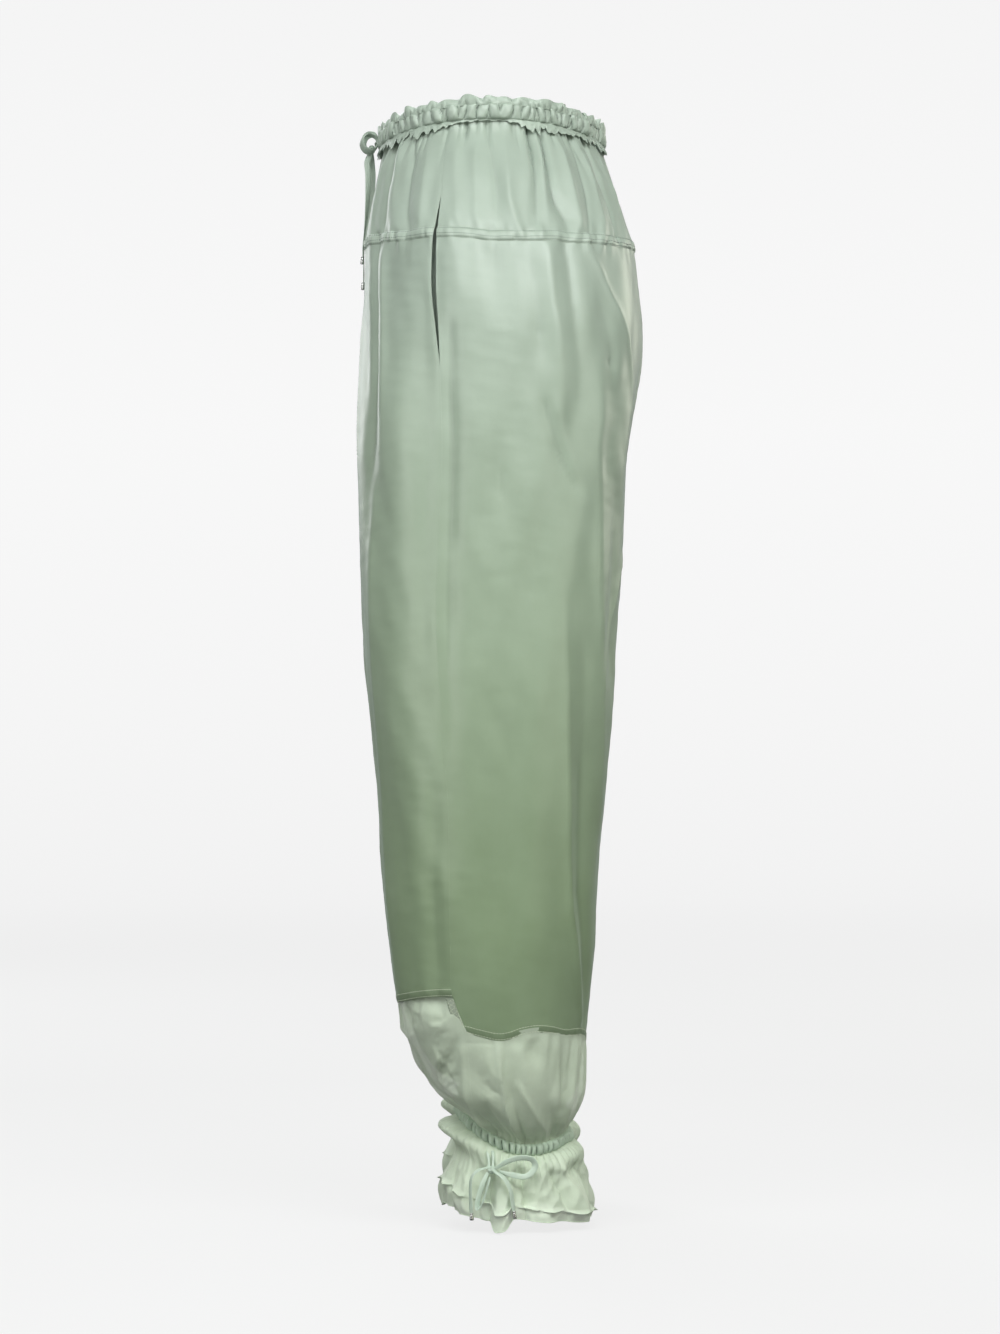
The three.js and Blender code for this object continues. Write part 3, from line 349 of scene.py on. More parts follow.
def ridged(s, z, seed, reach_s, reach_z):
    """Crumple noise with sharp crests and rounded hollows, 0 to 1."""
    return 1.0 - np.abs(waves(s, z, seed, reach_s, reach_z, 5) * 1.3)


def gathers(t, low, spacing, seed, least=0.4, most=1.7, shallow=0.35):
    """Random pinch lines right round a gathered edge: angle, depth factor, length factor, width factor."""
    g = np.random.default_rng(seed)
    out, a = [], -PI
    while a < PI:
        radius = 108.0 if low is None else low
        a += g.uniform(least, most) * spacing / radius
        out.append((a, g.uniform(shallow, 1.0), g.uniform(0, 1) ** 2.2, g.uniform(0.75, 1.3)))
    return out[:-1]


WAIST_PINCHES = gathers(None, 108.0, 6.6, 41, 0.4, 1.7, 0.5)


def pinch_sum(pinches, t, down, radius, depth, short, long, width):
    """Gathers under an edge: t is the true angle, down the distance from the edge in mm."""
    total = np.zeros(np.broadcast(t, down).shape)
    for a, d, l, w in pinches:
        length = short + (long - short) * l
        reach = np.clip(1 - down / length, 0, 1) ** 1.4
        m = reach > 0
        if not m.any():
            continue
        x = np.abs(wrap(t[m] - a)) * radius[m] / (width * w * (1 + 0.7 * down[m] / length))
        total[m] -= depth * d * reach[m] * np.exp(-x ** 1.3)
    return total


LEFT = {1: YOKE_FOLDS, -1: varied(YOKE_FOLDS, 7)}
LEGS = {1: LEG_FOLDS + HIDDEN_FOLDS, -1: varied(LEG_FOLDS, 12) + varied(HIDDEN_FOLDS, 13)}
# gathers of the yoke's front and back middle, seen from in front and behind, in true angles about the waist
g0 = np.random.default_rng(23)
MIDDLE = []
for middle in (-90, 90):
    a = -27.0
    while a < 27:
        a += g0.uniform(5.0, 9.0)
        if abs(a) > 27:
            break
        top = g0.uniform(2.4, 4.8)
        run = g0.uniform(45, 100)
        MIDDLE.append((middle + a, top, run, g0.uniform(2.6, 4.0), g0.uniform(-3, 3)))


def middle_folds(x, y, z):
    total = np.zeros(x.shape)
    t = np.arctan2(y, x)
    radius = np.hypot(x, y)
    for a, d, run, w, lean in MIDDLE:
        f = np.clip((-6 - z) / run, 0, 1)
        dist = np.abs(wrap(t - (a + lean * f) * R)) * radius / (w * (1 + 1.1 * f))
        total -= d * (1 - f) ** 0.9 * smooth((2 - z) / 12) * np.exp(-dist ** 1.4)
    return total


def outer(side, th, z, extra=0.0, fine=1.0):
    """A point of the garment's outer face with all its folds. Arrays in, (..., 3) out, millimetres."""
    th, z = np.broadcast_arrays(np.asarray(th, float), np.asarray(z, float))
    cx, a, cy, b, n = section(z)
    c, q = np.cos(th), np.sin(th)
    r = (np.abs(c / a) ** n + np.abs(q / b) ** n) ** (-1 / n)
    x, y = cx + r * c, cy + r * q
    nx = np.sign(c) * np.abs(r * c / a) ** (n - 1) / a
    ny = np.sign(q) * np.abs(r * q / b) ** (n - 1) / b
    torso = smooth((z + 320) / 60)
    nx = nx * (1 - torso * (1 - smooth(np.abs(x) / 26)))
    ln = np.hypot(nx, ny) + 1e-9
    nx, ny = nx / ln, ny / ln
    radius = np.maximum(r, 40)
    near = 1 - torso * (1 - smooth(np.abs(x) / 30))          # fades side folds out at the middle plane
    d = np.zeros(th.shape)
    yoke = smooth((z + 128) / 22)                             # 1 in the yoke, 0 under its seam
    if (z > -135).any():
        d += 1.5 * fold_sum(LEFT[side], th, z, radius) * near * (0.25 + 0.75 * smooth((z + 122) / 20))
        tw = np.arctan2(y, side * x)
        down = np.maximum(waist_z(tw) - 6.5 - z, 0)
        d += pinch_sum(WAIST_PINCHES, np.arctan2(y, side * x), down, np.hypot(x, y), 3.7, 12, 78, 1.5) * yoke
        d += middle_folds(side * x, y, z) * yoke
        # bellying between the gathers and the seam, and puckers along the stitched seam
        s_here = th * radius
        seam_near = np.exp(-((z - yoke_seam_z(th)) / 13.0) ** 2)
        d += 0.9 * waves(s_here, z, 31 + side, 12, 60) * seam_near * near
        d += 0.45 * waves(s_here, z, 37 + side, 24, 70) * yoke * near * smooth((-14 - z) / 20)
    if (z < -95).any():
        low = smooth((-96 - z) / 10)
        d += fold_sum(LEGS[side], th, z, radius) * near * low
        s_here = th * radius
        seam_near = np.exp(-np.maximum(0, -110 - z) / 16.0) * low
        d += 0.5 * waves(s_here, z, 51 + side, 13, 60) * seam_near * near
        d += ((0.5 + 0.6 * smooth((z + 770) / 170)) * waves(s_here, z, 57 + side, 70, 230)
              + (0.14 + 0.12 * smooth((z + 770) / 170)) * waves(s_here, z, 58 + side, 34, 70)
              + 0.10 * waves(s_here, z, 59 + side, 60, 16)) * low * near * fine
        hem = np.where(th < side_seam(z), front_hem_z(th), back_hem_z(th))
        hem_near = np.exp(-np.abs(z - hem) / 14.0)
        d += 0.3 * waves(s_here, z, 61 + side, 14, 60) * hem_near
    # the side seam: drawn in a little and puckered, its allowance a low ridge on the front side
    off = (th - side_seam(z)) * radius
    flat = 1 - slit_open(z) / SLIT_OPEN
    pull = 0.5 + 0.25 * np.sin(z * 0.61 + 2 * np.sin(z * 0.11)) * (z > -110)
    d += (-0.30 * pull * np.exp(-np.abs(off) / 1.3) + 0.16 * np.exp(-((off + 3.6) / 3.2) ** 2)) * flat * (0.22 + 0.78 * smooth((z + 420) / 140))
    # the slit's front lip stands a little proud, and its back edge lies under
    lip = slit_open(z) / SLIT_OPEN
    d += lip * (1.2 * np.exp(-((off + 5.0) / 4.5) ** 2) * (off < 0) - 1.8 * np.exp(-((off - 1.0) / 6.0) ** 2) * (off >= 0))
    d = d + extra
    return np.stack([side * (x + d * nx), y + d * ny, z], -1)


# ------------------------------------------------------------------ materials
def material(name, build):
    m = bpy.data.materials.new(name)
    m.use_nodes = True
    nt = m.node_tree
    nt.nodes.clear()
    out = nt.nodes.new("ShaderNodeOutputMaterial")
    bsdf = nt.nodes.new("ShaderNodeBsdfPrincipled")
    nt.links.new(bsdf.outputs["BSDF"], out.inputs["Surface"])
    build(nt, bsdf)
    return m


def node(nt, kind, **values):
    n = nt.nodes.new(kind)
    for key, v in values.items():
        if key in n.inputs:
            n.inputs[key].default_value = v
        else:
            setattr(n, key, v)
    return n


def noise(nt, coords, scale, stretch=(1, 1, 1), detail=3.0, rough=0.5, offset=(0, 0, 0)):
    mp = nt.nodes.new("ShaderNodeMapping")
    mp.inputs["Scale"].default_value = stretch
    mp.inputs["Location"].default_value = offset
    nt.links.new(coords, mp.inputs["Vector"])
    n = nt.nodes.new("ShaderNodeTexNoise")
    n.inputs["Scale"].default_value = scale
    n.inputs["Detail"].default_value = detail
    n.inputs["Roughness"].default_value = rough
    nt.links.new(mp.outputs["Vector"], n.inputs["Vector"])
    return n.outputs["Fac"]


def ramp(nt, fac, low, high, a=0.3, b=0.7):
    r = nt.nodes.new("ShaderNodeValToRGB")
    r.color_ramp.elements[0].position = a
    r.color_ramp.elements[1].position = b
    r.color_ramp.elements[0].color = (*low, 1)
    r.color_ramp.elements[1].color = (*high, 1)
    nt.links.new(fac, r.inputs["Fac"])
    return r.outputs["Color"]


def bump(nt, height, strength, distance, normal=None):
    b = nt.nodes.new("ShaderNodeBump")
    b.inputs["Strength"].default_value = strength
    b.inputs["Distance"].default_value = distance
    nt.links.new(height, b.inputs["Height"])
    if normal is not None:
        nt.links.new(normal, b.inputs["Normal"])
    return b.outputs["Normal"]


def satin_nodes(tone=1.0, rough=0.40, sheen=0.22, spec=0.55, low_tone=None, crease=0.55):
    def build(nt, p):
        co = nt.nodes.new("ShaderNodeTexCoord").outputs["Object"]
        mottle = noise(nt, co, 26, (1, 1, 0.8), 3, 0.55)
        # painted light: the colour is mixed by height, bluer and lighter toward the waist and more olive toward the
        # hem, standing in for cool light from above and warm light low down
        a, b = (0.318, 0.382, 0.316), (0.350, 0.418, 0.350)
        c, d = (0.262, 0.354, 0.208), (0.290, 0.388, 0.236)
        high = ramp(nt, mottle, tuple(v * tone for v in a), tuple(v * tone for v in b))
        # low_tone gives another colour for the hem end of this painted height gradient
        if low_tone is not None:
            c, d = low_tone
        low = ramp(nt, mottle, tuple(v * tone for v in c), tuple(v * tone for v in d))
        sep = nt.nodes.new("ShaderNodeSeparateXYZ")
        nt.links.new(co, sep.inputs["Vector"])
        run = nt.nodes.new("ShaderNodeMapRange")
        run.inputs["From Min"].default_value = -0.72
        run.inputs["From Max"].default_value = -0.12
        nt.links.new(sep.outputs["Z"], run.inputs["Value"])
        mix = nt.nodes.new("ShaderNodeMixRGB")
        nt.links.new(run.outputs["Result"], mix.inputs["Fac"])
        nt.links.new(low, mix.inputs["Color1"])
        nt.links.new(high, mix.inputs["Color2"])
        # less light reaches the bottom of a tight crease
        tight = nt.nodes.new("ShaderNodeNewGeometry").outputs["Pointiness"]
        shade = nt.nodes.new("ShaderNodeMapRange")
        shade.inputs["From Min"].default_value = 0.43
        shade.inputs["From Max"].default_value = 0.495
        shade.inputs["To Min"].default_value = 1 - crease
        shade.inputs["To Max"].default_value = 1.0
        nt.links.new(tight, shade.inputs["Value"])
        deep = nt.nodes.new("ShaderNodeVectorMath")
        deep.operation = "SCALE"
        nt.links.new(mix.outputs["Color"], deep.inputs[0])
        nt.links.new(shade.outputs["Result"], deep.inputs["Scale"])
        nt.links.new(deep.outputs["Vector"], p.inputs["Base Color"])
        slub = noise(nt, co, 1.0, (260, 260, 9), 4, 0.6)
        r = nt.nodes.new("ShaderNodeMapRange")
        r.inputs["To Min"].default_value = rough - 0.05
        r.inputs["To Max"].default_value = rough + 0.05
        nt.links.new(slub, r.inputs["Value"])
        nt.links.new(r.outputs["Result"], p.inputs["Roughness"])
        grain = noise(nt, co, 1.0, (1500, 1500, 1100), 2, 0.5)
        soft = noise(nt, co, 1.0, (46, 46, 60), 3, 0.5)
        n = bump(nt, grain, 0.10, 0.0004)
        n = bump(nt, slub, 0.12, 0.0004, n)
        n = bump(nt, soft, 0.25, 0.0010, n)
        nt.links.new(n, p.inputs["Normal"])
        p.inputs["Specular IOR Level"].default_value = spec
        p.inputs["Sheen Weight"].default_value = sheen
        p.inputs["Sheen Roughness"].default_value = 0.35
        p.inputs["Sheen Tint"].default_value = (0.86, 0.97, 0.95, 1)
    return build


def sheer_nodes(alpha, tone=1.0):
    def build(nt, p):
        co = nt.nodes.new("ShaderNodeTexCoord").outputs["Object"]
        mottle = noise(nt, co, 60, (1, 1, 1), 3, 0.55)
        a, b = (0.560, 0.650, 0.505), (0.640, 0.735, 0.585)
        colour = ramp(nt, mottle, tuple(v * tone for v in a), tuple(v * tone for v in b))
        nt.links.new(colour, p.inputs["Base Color"])
        grain = noise(nt, co, 1.0, (1700, 1700, 1700), 2, 0.5)
        crepe = noise(nt, co, 1.0, (240, 240, 240), 3, 0.5)
        n = bump(nt, grain, 0.25, 0.0004)
        n = bump(nt, crepe, 0.2, 0.0006, n)
        nt.links.new(n, p.inputs["Normal"])
        p.inputs["Roughness"].default_value = 0.55
        p.inputs["Specular IOR Level"].default_value = 0.4
        p.inputs["Sheen Weight"].default_value = 0.5
        p.inputs["Sheen Roughness"].default_value = 0.4
        p.inputs["Sheen Tint"].default_value = (0.96, 1.0, 0.88, 1)
        p.inputs["Alpha"].default_value = alpha
    return build


def metal_nodes(nt, p):
    co = nt.nodes.new("ShaderNodeTexCoord").outputs["Object"]
    n = noise(nt, co, 1.0, (900, 900, 900), 3, 0.5)
    nt.links.new(ramp(nt, n, (0.55, 0.55, 0.54), (0.70, 0.70, 0.69)), p.inputs["Base Color"])
    p.inputs["Metallic"].default_value = 1.0
    p.inputs["Roughness"].default_value = 0.26
    nt.links.new(bump(nt, n, 0.08, 0.0002), p.inputs["Normal"])


M_SATIN = material("satin", satin_nodes(crease=0.32))
M_CASING = material("satin_casing", satin_nodes(1.06, 0.44, 0.28))
# painted shade: a darker, duller copy of the satin for the pocket bags, standing in for the shade inside the slit
M_BAG = material("satin_inside", satin_nodes(0.72, 0.55, 0.1, 0.3))
# painted shade: the thread is made much darker than the satin, so the stitch rows read as the shade in their holes
M_THREAD = material("thread", satin_nodes(0.40, 0.6, 0.05, 0.2, crease=0))
M_THREAD_PALE = material("thread_pale", satin_nodes(1.0, 0.6, 0.1, 0.3, ((0.62, 0.70, 0.52), (0.70, 0.78, 0.60)), 0))
# painted shade: a darker copy of the satin for the hem bands, so the band reads dark
M_HEM = material("satin_hem", satin_nodes(0.80, 0.5, 0.12, 0.4, crease=0.2))
M_TIE = material("satin_tie", satin_nodes(1.10, 0.42, 0.25))
# ankle copies of the tie and casing satin: low_tone gives them a lighter colour at the hem end of the painted height
# gradient
M_TIE_LOW = material("satin_tie_low", satin_nodes(1.0, 0.42, 0.25, 0.55, ((0.50, 0.61, 0.50), (0.58, 0.70, 0.58))))
M_CASING_LOW = material("casing_low", satin_nodes(1.0, 0.5, 0.25, 0.5, ((0.46, 0.575, 0.45), (0.53, 0.65, 0.515))))
M_SHEER = material("sheer", sheer_nodes(0.72, 1.22))
M_SHEER_RUFFLE = material("sheer_ruffle", sheer_nodes(0.90, 1.14))
M_SHEER_HEM = material("sheer_hem", sheer_nodes(0.92, 1.28))
M_ALLOWANCE = material("allowance", sheer_nodes(0.80, 0.80))
M_METAL = material("metal", metal_nodes)


# ------------------------------------------------------------------ meshes
def make(name, verts, faces, mats, face_mat=None):
    mesh = bpy.data.meshes.new(name)
    mesh.from_pydata((np.asarray(verts) * 0.001).tolist(), [], faces if isinstance(faces, list) else faces.tolist())
    mesh.update()
    for m in (mats if isinstance(mats, (list, tuple)) else [mats]):
        mesh.materials.append(m)
    mesh.polygons.foreach_set("use_smooth", [True] * len(mesh.polygons))
    mesh.set_sharp_from_angle(angle=62 * R)
    if face_mat is not None:
        mesh.polygons.foreach_set("material_index", np.asarray(face_mat, dtype=np.int32))
    o = bpy.data.objects.new(name, mesh)
    scene.collection.objects.link(o)
    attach(o, "root")
    return o


def normals(P, around):
    if around:
        du = np.roll(P, -1, 1) - np.roll(P, 1, 1)
    else:
        du = np.gradient(P, axis=1)
    dv = np.gradient(P, axis=0)
    n = np.cross(du, dv)
    return n / (np.linalg.norm(n, axis=-1, keepdims=True) + 1e-12)


def quads(nv, cols, around, flip, base=0):
    """Faces of a grid with nv rows and cols columns."""
    j, i = np.meshgrid(np.arange(nv - 1), np.arange(cols if around else cols - 1), indexing="ij")
    i2 = (i + 1) % cols
    a, b, c, d = j * cols + i, j * cols + i2, (j + 1) * cols + i2, (j + 1) * cols + i
    f = np.stack([a, b, c, d], -1).reshape(-1, 4) + base
    return f[:, ::-1] if flip else f


def shell(P, thick, around=False, away=None, out=0.0):
    """Closed thin wall on a grid of points (rows, columns, 3). away: a point inside the wall's hollow."""
    n = normals(P, around)
    ref = P - (away if away is not None else P.mean((0, 1)))
    flip = False
    if (n * ref).sum() < 0:
        n, flip = -n, True
    rows, cols = P.shape[:2]
    A = P + n * out
    B = A - n * thick
    verts = np.concatenate([A.reshape(-1, 3), B.reshape(-1, 3)])
    h = rows * cols
    f = [quads(rows, cols, around, flip), quads(rows, cols, around, not flip, h)]
    i = np.arange(cols if around else cols - 1)
    i2 = (i + 1) % cols
    top = np.stack([i, h + i, h + i2, i2], -1)
    last = (rows - 1) * cols
    low = np.stack([last + i, last + i2, h + last + i2, h + last + i], -1)
    f += [top[:, ::-1] if flip else top, low[:, ::-1] if flip else low]
    if not around:
        j = np.arange(rows - 1)
        l, l2 = j * cols, (j + 1) * cols
        left = np.stack([l, l2, h + l2, h + l], -1)
        r, r2 = l + cols - 1, l2 + cols - 1
        right = np.stack([r, h + r, h + r2, r2], -1)
        f += [left[:, ::-1] if flip else left, right[:, ::-1] if flip else right]
    return verts, np.concatenate(f)


def panel_grid(side, end, rows, cols, top, low, opening=True, v_of=None):
    """Angles and heights of a panel from the side seam to the middle plane or inner leg."""
    v = np.linspace(0, 1, rows)[:, None] if v_of is None else v_of[:, None]
    u = np.linspace(0, 1, cols)[None, :]
    th = np.full((rows, cols), end * 1.57)
    for _ in range(6):
        z = lerp(top(th), low(th), v)
        a = section(z)[1]
        gap = (0.02 + (slit_open(z) if (end < 0 and opening) else 0)) / a
        th = lerp(side_seam(z) + end * gap, edge_angle(z, end), u)
    return th, z


def area(P, around=False):
    Q = np.concatenate([P, P[:, :1]], 1) if around else P
    e = np.linalg.norm(np.cross(Q[1:, 1:] - Q[:-1, :-1], Q[1:, :-1] - Q[:-1, 1:]), axis=-1) / 2
    return float(e.sum()) * 1e-6


def both_sides(th_of, rows, cols_half, end, top, low, extra=0.0):
    """A yoke piece or band from one side seam through the middle to the other."""
    parts = []
    for side in (-1, 1):
        th, z = panel_grid(side, end, rows, cols_half, top, low)
        P = outer(side, th, z, extra)
        P[:, -1, 0] = 0.0
        parts.append(P)
    return np.concatenate([parts[0], parts[1][:, ::-1][:, 1:]], 1)


stitch_lists = {"dark": [], "pale": []}


def stitches(P, n, spacing=2.3, length=1.7, width=0.46, high=0.34, kind="dark"):
    """Small raised stitches along a line of points; n is the face normal along it."""
    seg = np.linalg.norm(np.diff(P, axis=0), axis=1)
    s = np.concatenate([[0], np.cumsum(seg)])
    count = int(s[-1] / spacing)
    at = (np.arange(count) + 0.5) * s[-1] / count

    def on(x):
        return np.stack([np.interp(x, s, P[:, k]) for k in range(3)], -1)
    a, b = on(at - length / 2), on(at + length / 2)
    nn = np.stack([np.interp(at, s, n[:, k]) for k in range(3)], -1)
    nn /= np.linalg.norm(nn, axis=1, keepdims=True)
    t = b - a
    t /= np.linalg.norm(t, axis=1, keepdims=True)
    w = np.cross(t, nn)
    verts, faces = [], []
    ring = [(1, 0), (0, 1), (-1, 0), (0, -1)]
    pts = [a - nn * 0.05]
    for f in (0.22, 0.78):
        c = a + (b - a) * f
        for x, y in ring:
            pts.append(c + w * x * width / 2 + nn * (y * high / 2 + high * 0.3))
    pts.append(b - nn * 0.05)
    V = np.stack(pts, 1)                                     # count, 10, 3
    tri = []
    for k in range(4):
        k2 = (k + 1) % 4
        tri += [(0, 1 + k2, 1 + k), (1 + k, 1 + k2, 5 + k2), (1 + k, 5 + k2, 5 + k), (5 + k, 5 + k2, 9)]
    F = np.array(tri)[None] + (np.arange(count) * 10)[:, None, None]
    stitch_lists[kind].append((V.reshape(-1, 3), F.reshape(-1, 3)))


def flush_stitches(name, kind, mat):
    V, F, base = [], [], 0
    for v, f in stitch_lists[kind]:
        V.append(v)
        F.append(f + base)
        base += len(v)
    return make(name, np.concatenate(V), np.concatenate(F), mat)


# ------------------------------------------------------------------ ties (cords), with the camera above
def catmull(points, n):
    """Centripetal curve through the points, and n + 1 even points on it."""
    p = np.array(points, float)
    p = np.concatenate([[2 * p[0] - p[1]], p, [2 * p[-1] - p[-2]]])
    fine = []
    for k in range(1, len(p) - 2):
        p0, p1, p2, p3 = p[k - 1:k + 3]
        d0, d1, d2 = (max(np.linalg.norm(b - a) ** 0.5, 1e-4) for a, b in ((p0, p1), (p1, p2), (p2, p3)))
        t1 = ((p1 - p0) / d0 - (p2 - p0) / (d0 + d1) + (p2 - p1) / d1) * d1
        t2 = ((p2 - p1) / d1 - (p3 - p1) / (d1 + d2) + (p3 - p2) / d2) * d1
        s = np.linspace(0, 1, 40, endpoint=False)[:, None]
        fine.append((2 * s ** 3 - 3 * s ** 2 + 1) * p1 + (s ** 3 - 2 * s ** 2 + s) * t1
                    + (-2 * s ** 3 + 3 * s ** 2) * p2 + (s ** 3 - s ** 2) * t2)
    fine.append(p[-2][None])
    f = np.concatenate(fine)
    s = np.concatenate([[0], np.cumsum(np.linalg.norm(np.diff(f, axis=0), axis=1))])
    at = np.linspace(0, s[-1], n + 1)
    return np.stack([np.interp(at, s, f[:, k]) for k in range(3)], -1), float(s[-1])


def ribbon(points, face, n=44, width=5.0, thick=1.15, taper=None, twist=0.0, turn=0.0, k=12):
    """A flat tie: a soft lens-shaped strip carried along a curve."""
    C, length = catmull(points, n)
    T = np.gradient(C, axis=0)
    T /= np.linalg.norm(T, axis=1, keepdims=True)
    nrm = np.array(face, float)
    verts = []
    for i in range(len(C)):
        nrm = nrm - T[i] * nrm.dot(T[i])
        nrm = nrm / np.linalg.norm(nrm)
        f = i / n
        ang = twist * math.sin(PI * f) + turn * float(smooth(f))
        w0 = np.cross(T[i], nrm)
        nn = nrm * math.cos(ang) + w0 * math.sin(ang)
        w = np.cross(T[i], nn)
        ww = width * (1 if taper is None else np.interp(f, taper[0], taper[1]))
        tt = thick * (0.9 + 0.18 * math.sin(f * 23 + width))
        for q in range(k):
            a = 2 * PI * q / k
            cu = math.copysign(abs(math.cos(a)) ** 0.8, math.cos(a))
            sv = math.copysign(abs(math.sin(a)) ** 0.9, math.sin(a))
            dent = 0.10 * math.sin(f * 31 + 2 * a)
            verts.append(C[i] + w * cu * ww / 2 + nn * (sv * tt / 2 + dent * 0.5))
    verts = np.array(verts)
    rows = len(C)
    faces = quads(rows, k, True, False).tolist()
    faces.append(list(range(k)))
    faces.append(list(range((rows - 1) * k, rows * k))[::-1])
    return verts, faces, C, length


def flat_tie(name, points, face, replaces, slot_name="satin", shear=None, **kw):
    v, f, C, length = ribbon(points, face, **kw)
    if shear is not None:
        off = np.abs(v[:, :1]) - shear[0]
        v = v + off * np.array([[0.0, shear[1], shear[2]]])
    o = make(name, v, f, M_TIE_LOW if "ankle" in name else M_TIE)
    fix_normals(o)
    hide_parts(*replaces)
    return o, C, length


def fix_normals(o):
    import bmesh
    bm = bmesh.new()
    bm.from_mesh(o.data)
    bmesh.ops.recalc_face_normals(bm, faces=bm.faces)
    bm.to_mesh(o.data)
    bm.free()


def lump(name, at, size, seed, node_name, turns=3):
    """A tied knot: a soft ball with the tie's wraps as grooves across it."""
    rows, cols = 22, 30
    a = np.linspace(0.02, PI - 0.02, rows)[:, None]
    b = np.linspace(0, 2 * PI, cols, endpoint=False)[None, :]
    x, y, z = np.sin(a) * np.cos(b), np.sin(a) * np.sin(b), np.cos(a) + 0 * b
    g = np.random.default_rng(seed)
    lean = g.uniform(-0.5, 0.5)
    groove = 1 - 0.13 * np.exp(-((z + lean * x - 0.28) / 0.13) ** 2) - 0.13 * np.exp(-((z + lean * x + 0.34) / 0.13) ** 2)
    groove = groove + 0.05 * np.sin(5 * b + 3 * z)
    P = np.stack([at[0] + size[0] * x * groove, at[1] + size[1] * y * groove, at[2] + size[2] * z * groove], -1)
    f = quads(rows, cols, True, False).tolist() + [list(range(cols)), list(range((rows - 1) * cols, rows * cols))[::-1]]
    o = make(name, P.reshape(-1, 3), f, M_TIE_LOW if "ankle" in name else M_TIE)
    fix_normals(o)
    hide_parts(node_name)
    return o


def metal_tip(name, a, b, node_name):
    a, b = np.array(a, float), np.array(b, float)
    t = (b - a) / np.linalg.norm(b - a)
    u = np.cross(t, [0.3, 1, 0.1])
    u /= np.linalg.norm(u)
    w = np.cross(t, u)
    ln = np.linalg.norm(b - a)
    prof = [(0, 0.9), (0, 1.45), (0.04, 1.62), (0.12, 1.62), (0.15, 1.44), (0.22, 1.44), (0.25, 1.62), (0.34, 1.66),
            (0.80, 1.86), (0.92, 1.84), (0.98, 1.60), (1.0, 1.1), (1.0, 0.5)]
    k = 20
    ang = np.linspace(0, 2 * PI, k, endpoint=False)
    V = [a + t * ln * f + r * (np.cos(q) * u + np.sin(q) * w) for f, r in prof for q in ang]
    f = quads(len(prof), k, True, False).tolist() + [list(range(k)), list(range((len(prof) - 1) * k, len(prof) * k))[::-1]]
    o = make(name, np.array(V), f, M_METAL)
    fix_normals(o)
    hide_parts(node_name)
    return o


lump("bow_knot_waist", (0, -110.5, -13), (4.7, 3.4, 3.8), 3, "waist_knot")
RING = [(-50, 6.0, 6.6), (-10, 6.2, 7.4), (30, 6.5, 7.6), (70, 6.8, 7.9), (110, 7.0, 8.2), (150, 7.2, 8.5),
        (190, 7.3, 8.7), (230, 7.4, 8.8), (265, 7.5, 8.4), (292, 7.5, 7.4)]
for side, word in ((1, "left"), (-1, "right")):
    # the loop curls round an axis across the garment: a ring when seen from the side
    o, C, ln = flat_tie(f"tie_waist_loop_{word}", [
        (side * x, (-111.6 if side > 0 else -110.9) + (1.12 if side > 0 else 1.0) * r * math.cos(a * R),
         (-8.0 if side > 0 else -4.6) + (1.1 if side > 0 else 0.95) * r * math.sin(a * R)) for a, r, x in RING],
        (0, 0.64, -0.77), [f"waist_loop_{word}"], n=60, width=6.8, thick=1.9, shear=(8.0, 0.28, 0.55 * side),
        taper=([0, .1, .5, .9, 1], [.7, .95, 1.0, .95, .7]))
    tip_a = (side * 9, -118.8, -112.2 if side > 0 else -134.2)
    tip_b = (side * 9, -119.0, -119.4 if side > 0 else -141.4)
    tip = metal_tip(f"tie_end_waist_{word}", tip_a, tip_b, f"waist_tip_{word}")
    # the tail hangs edge-on below the knot and turns flat against the cloth lower down
    pts = [(2.2, -111.2, -15.4), (2.7, -111.6, -18.4), (3.2, -112.6, -25), (4.4, -111.8, -36), (5.6, -112.2, -52),
           (6.6, -114.2, -70), (7.8, -116.6, -88), (8.8, -118.3, -104)]
    pts += [(9, -118.4, -112.7)] if side > 0 else [(8.8, -118.2, -122), (9, -118.4, -134.7)]
    spread = 2.0 * side
    o, C, ln = flat_tie(f"tie_waist_tail_{word}", [
        (side * a, b - spread * float(smooth((-14 - c) / 12) * smooth((c + 90) / 50)), c) for a, b, c in pts],
        (side, 0, 0), [f"waist_tail_{word}"], n=70, width=5.4, turn=-side * PI / 2, taper=([0, .06, .9, 1], [.7, 1.0, 1.0, .62]))

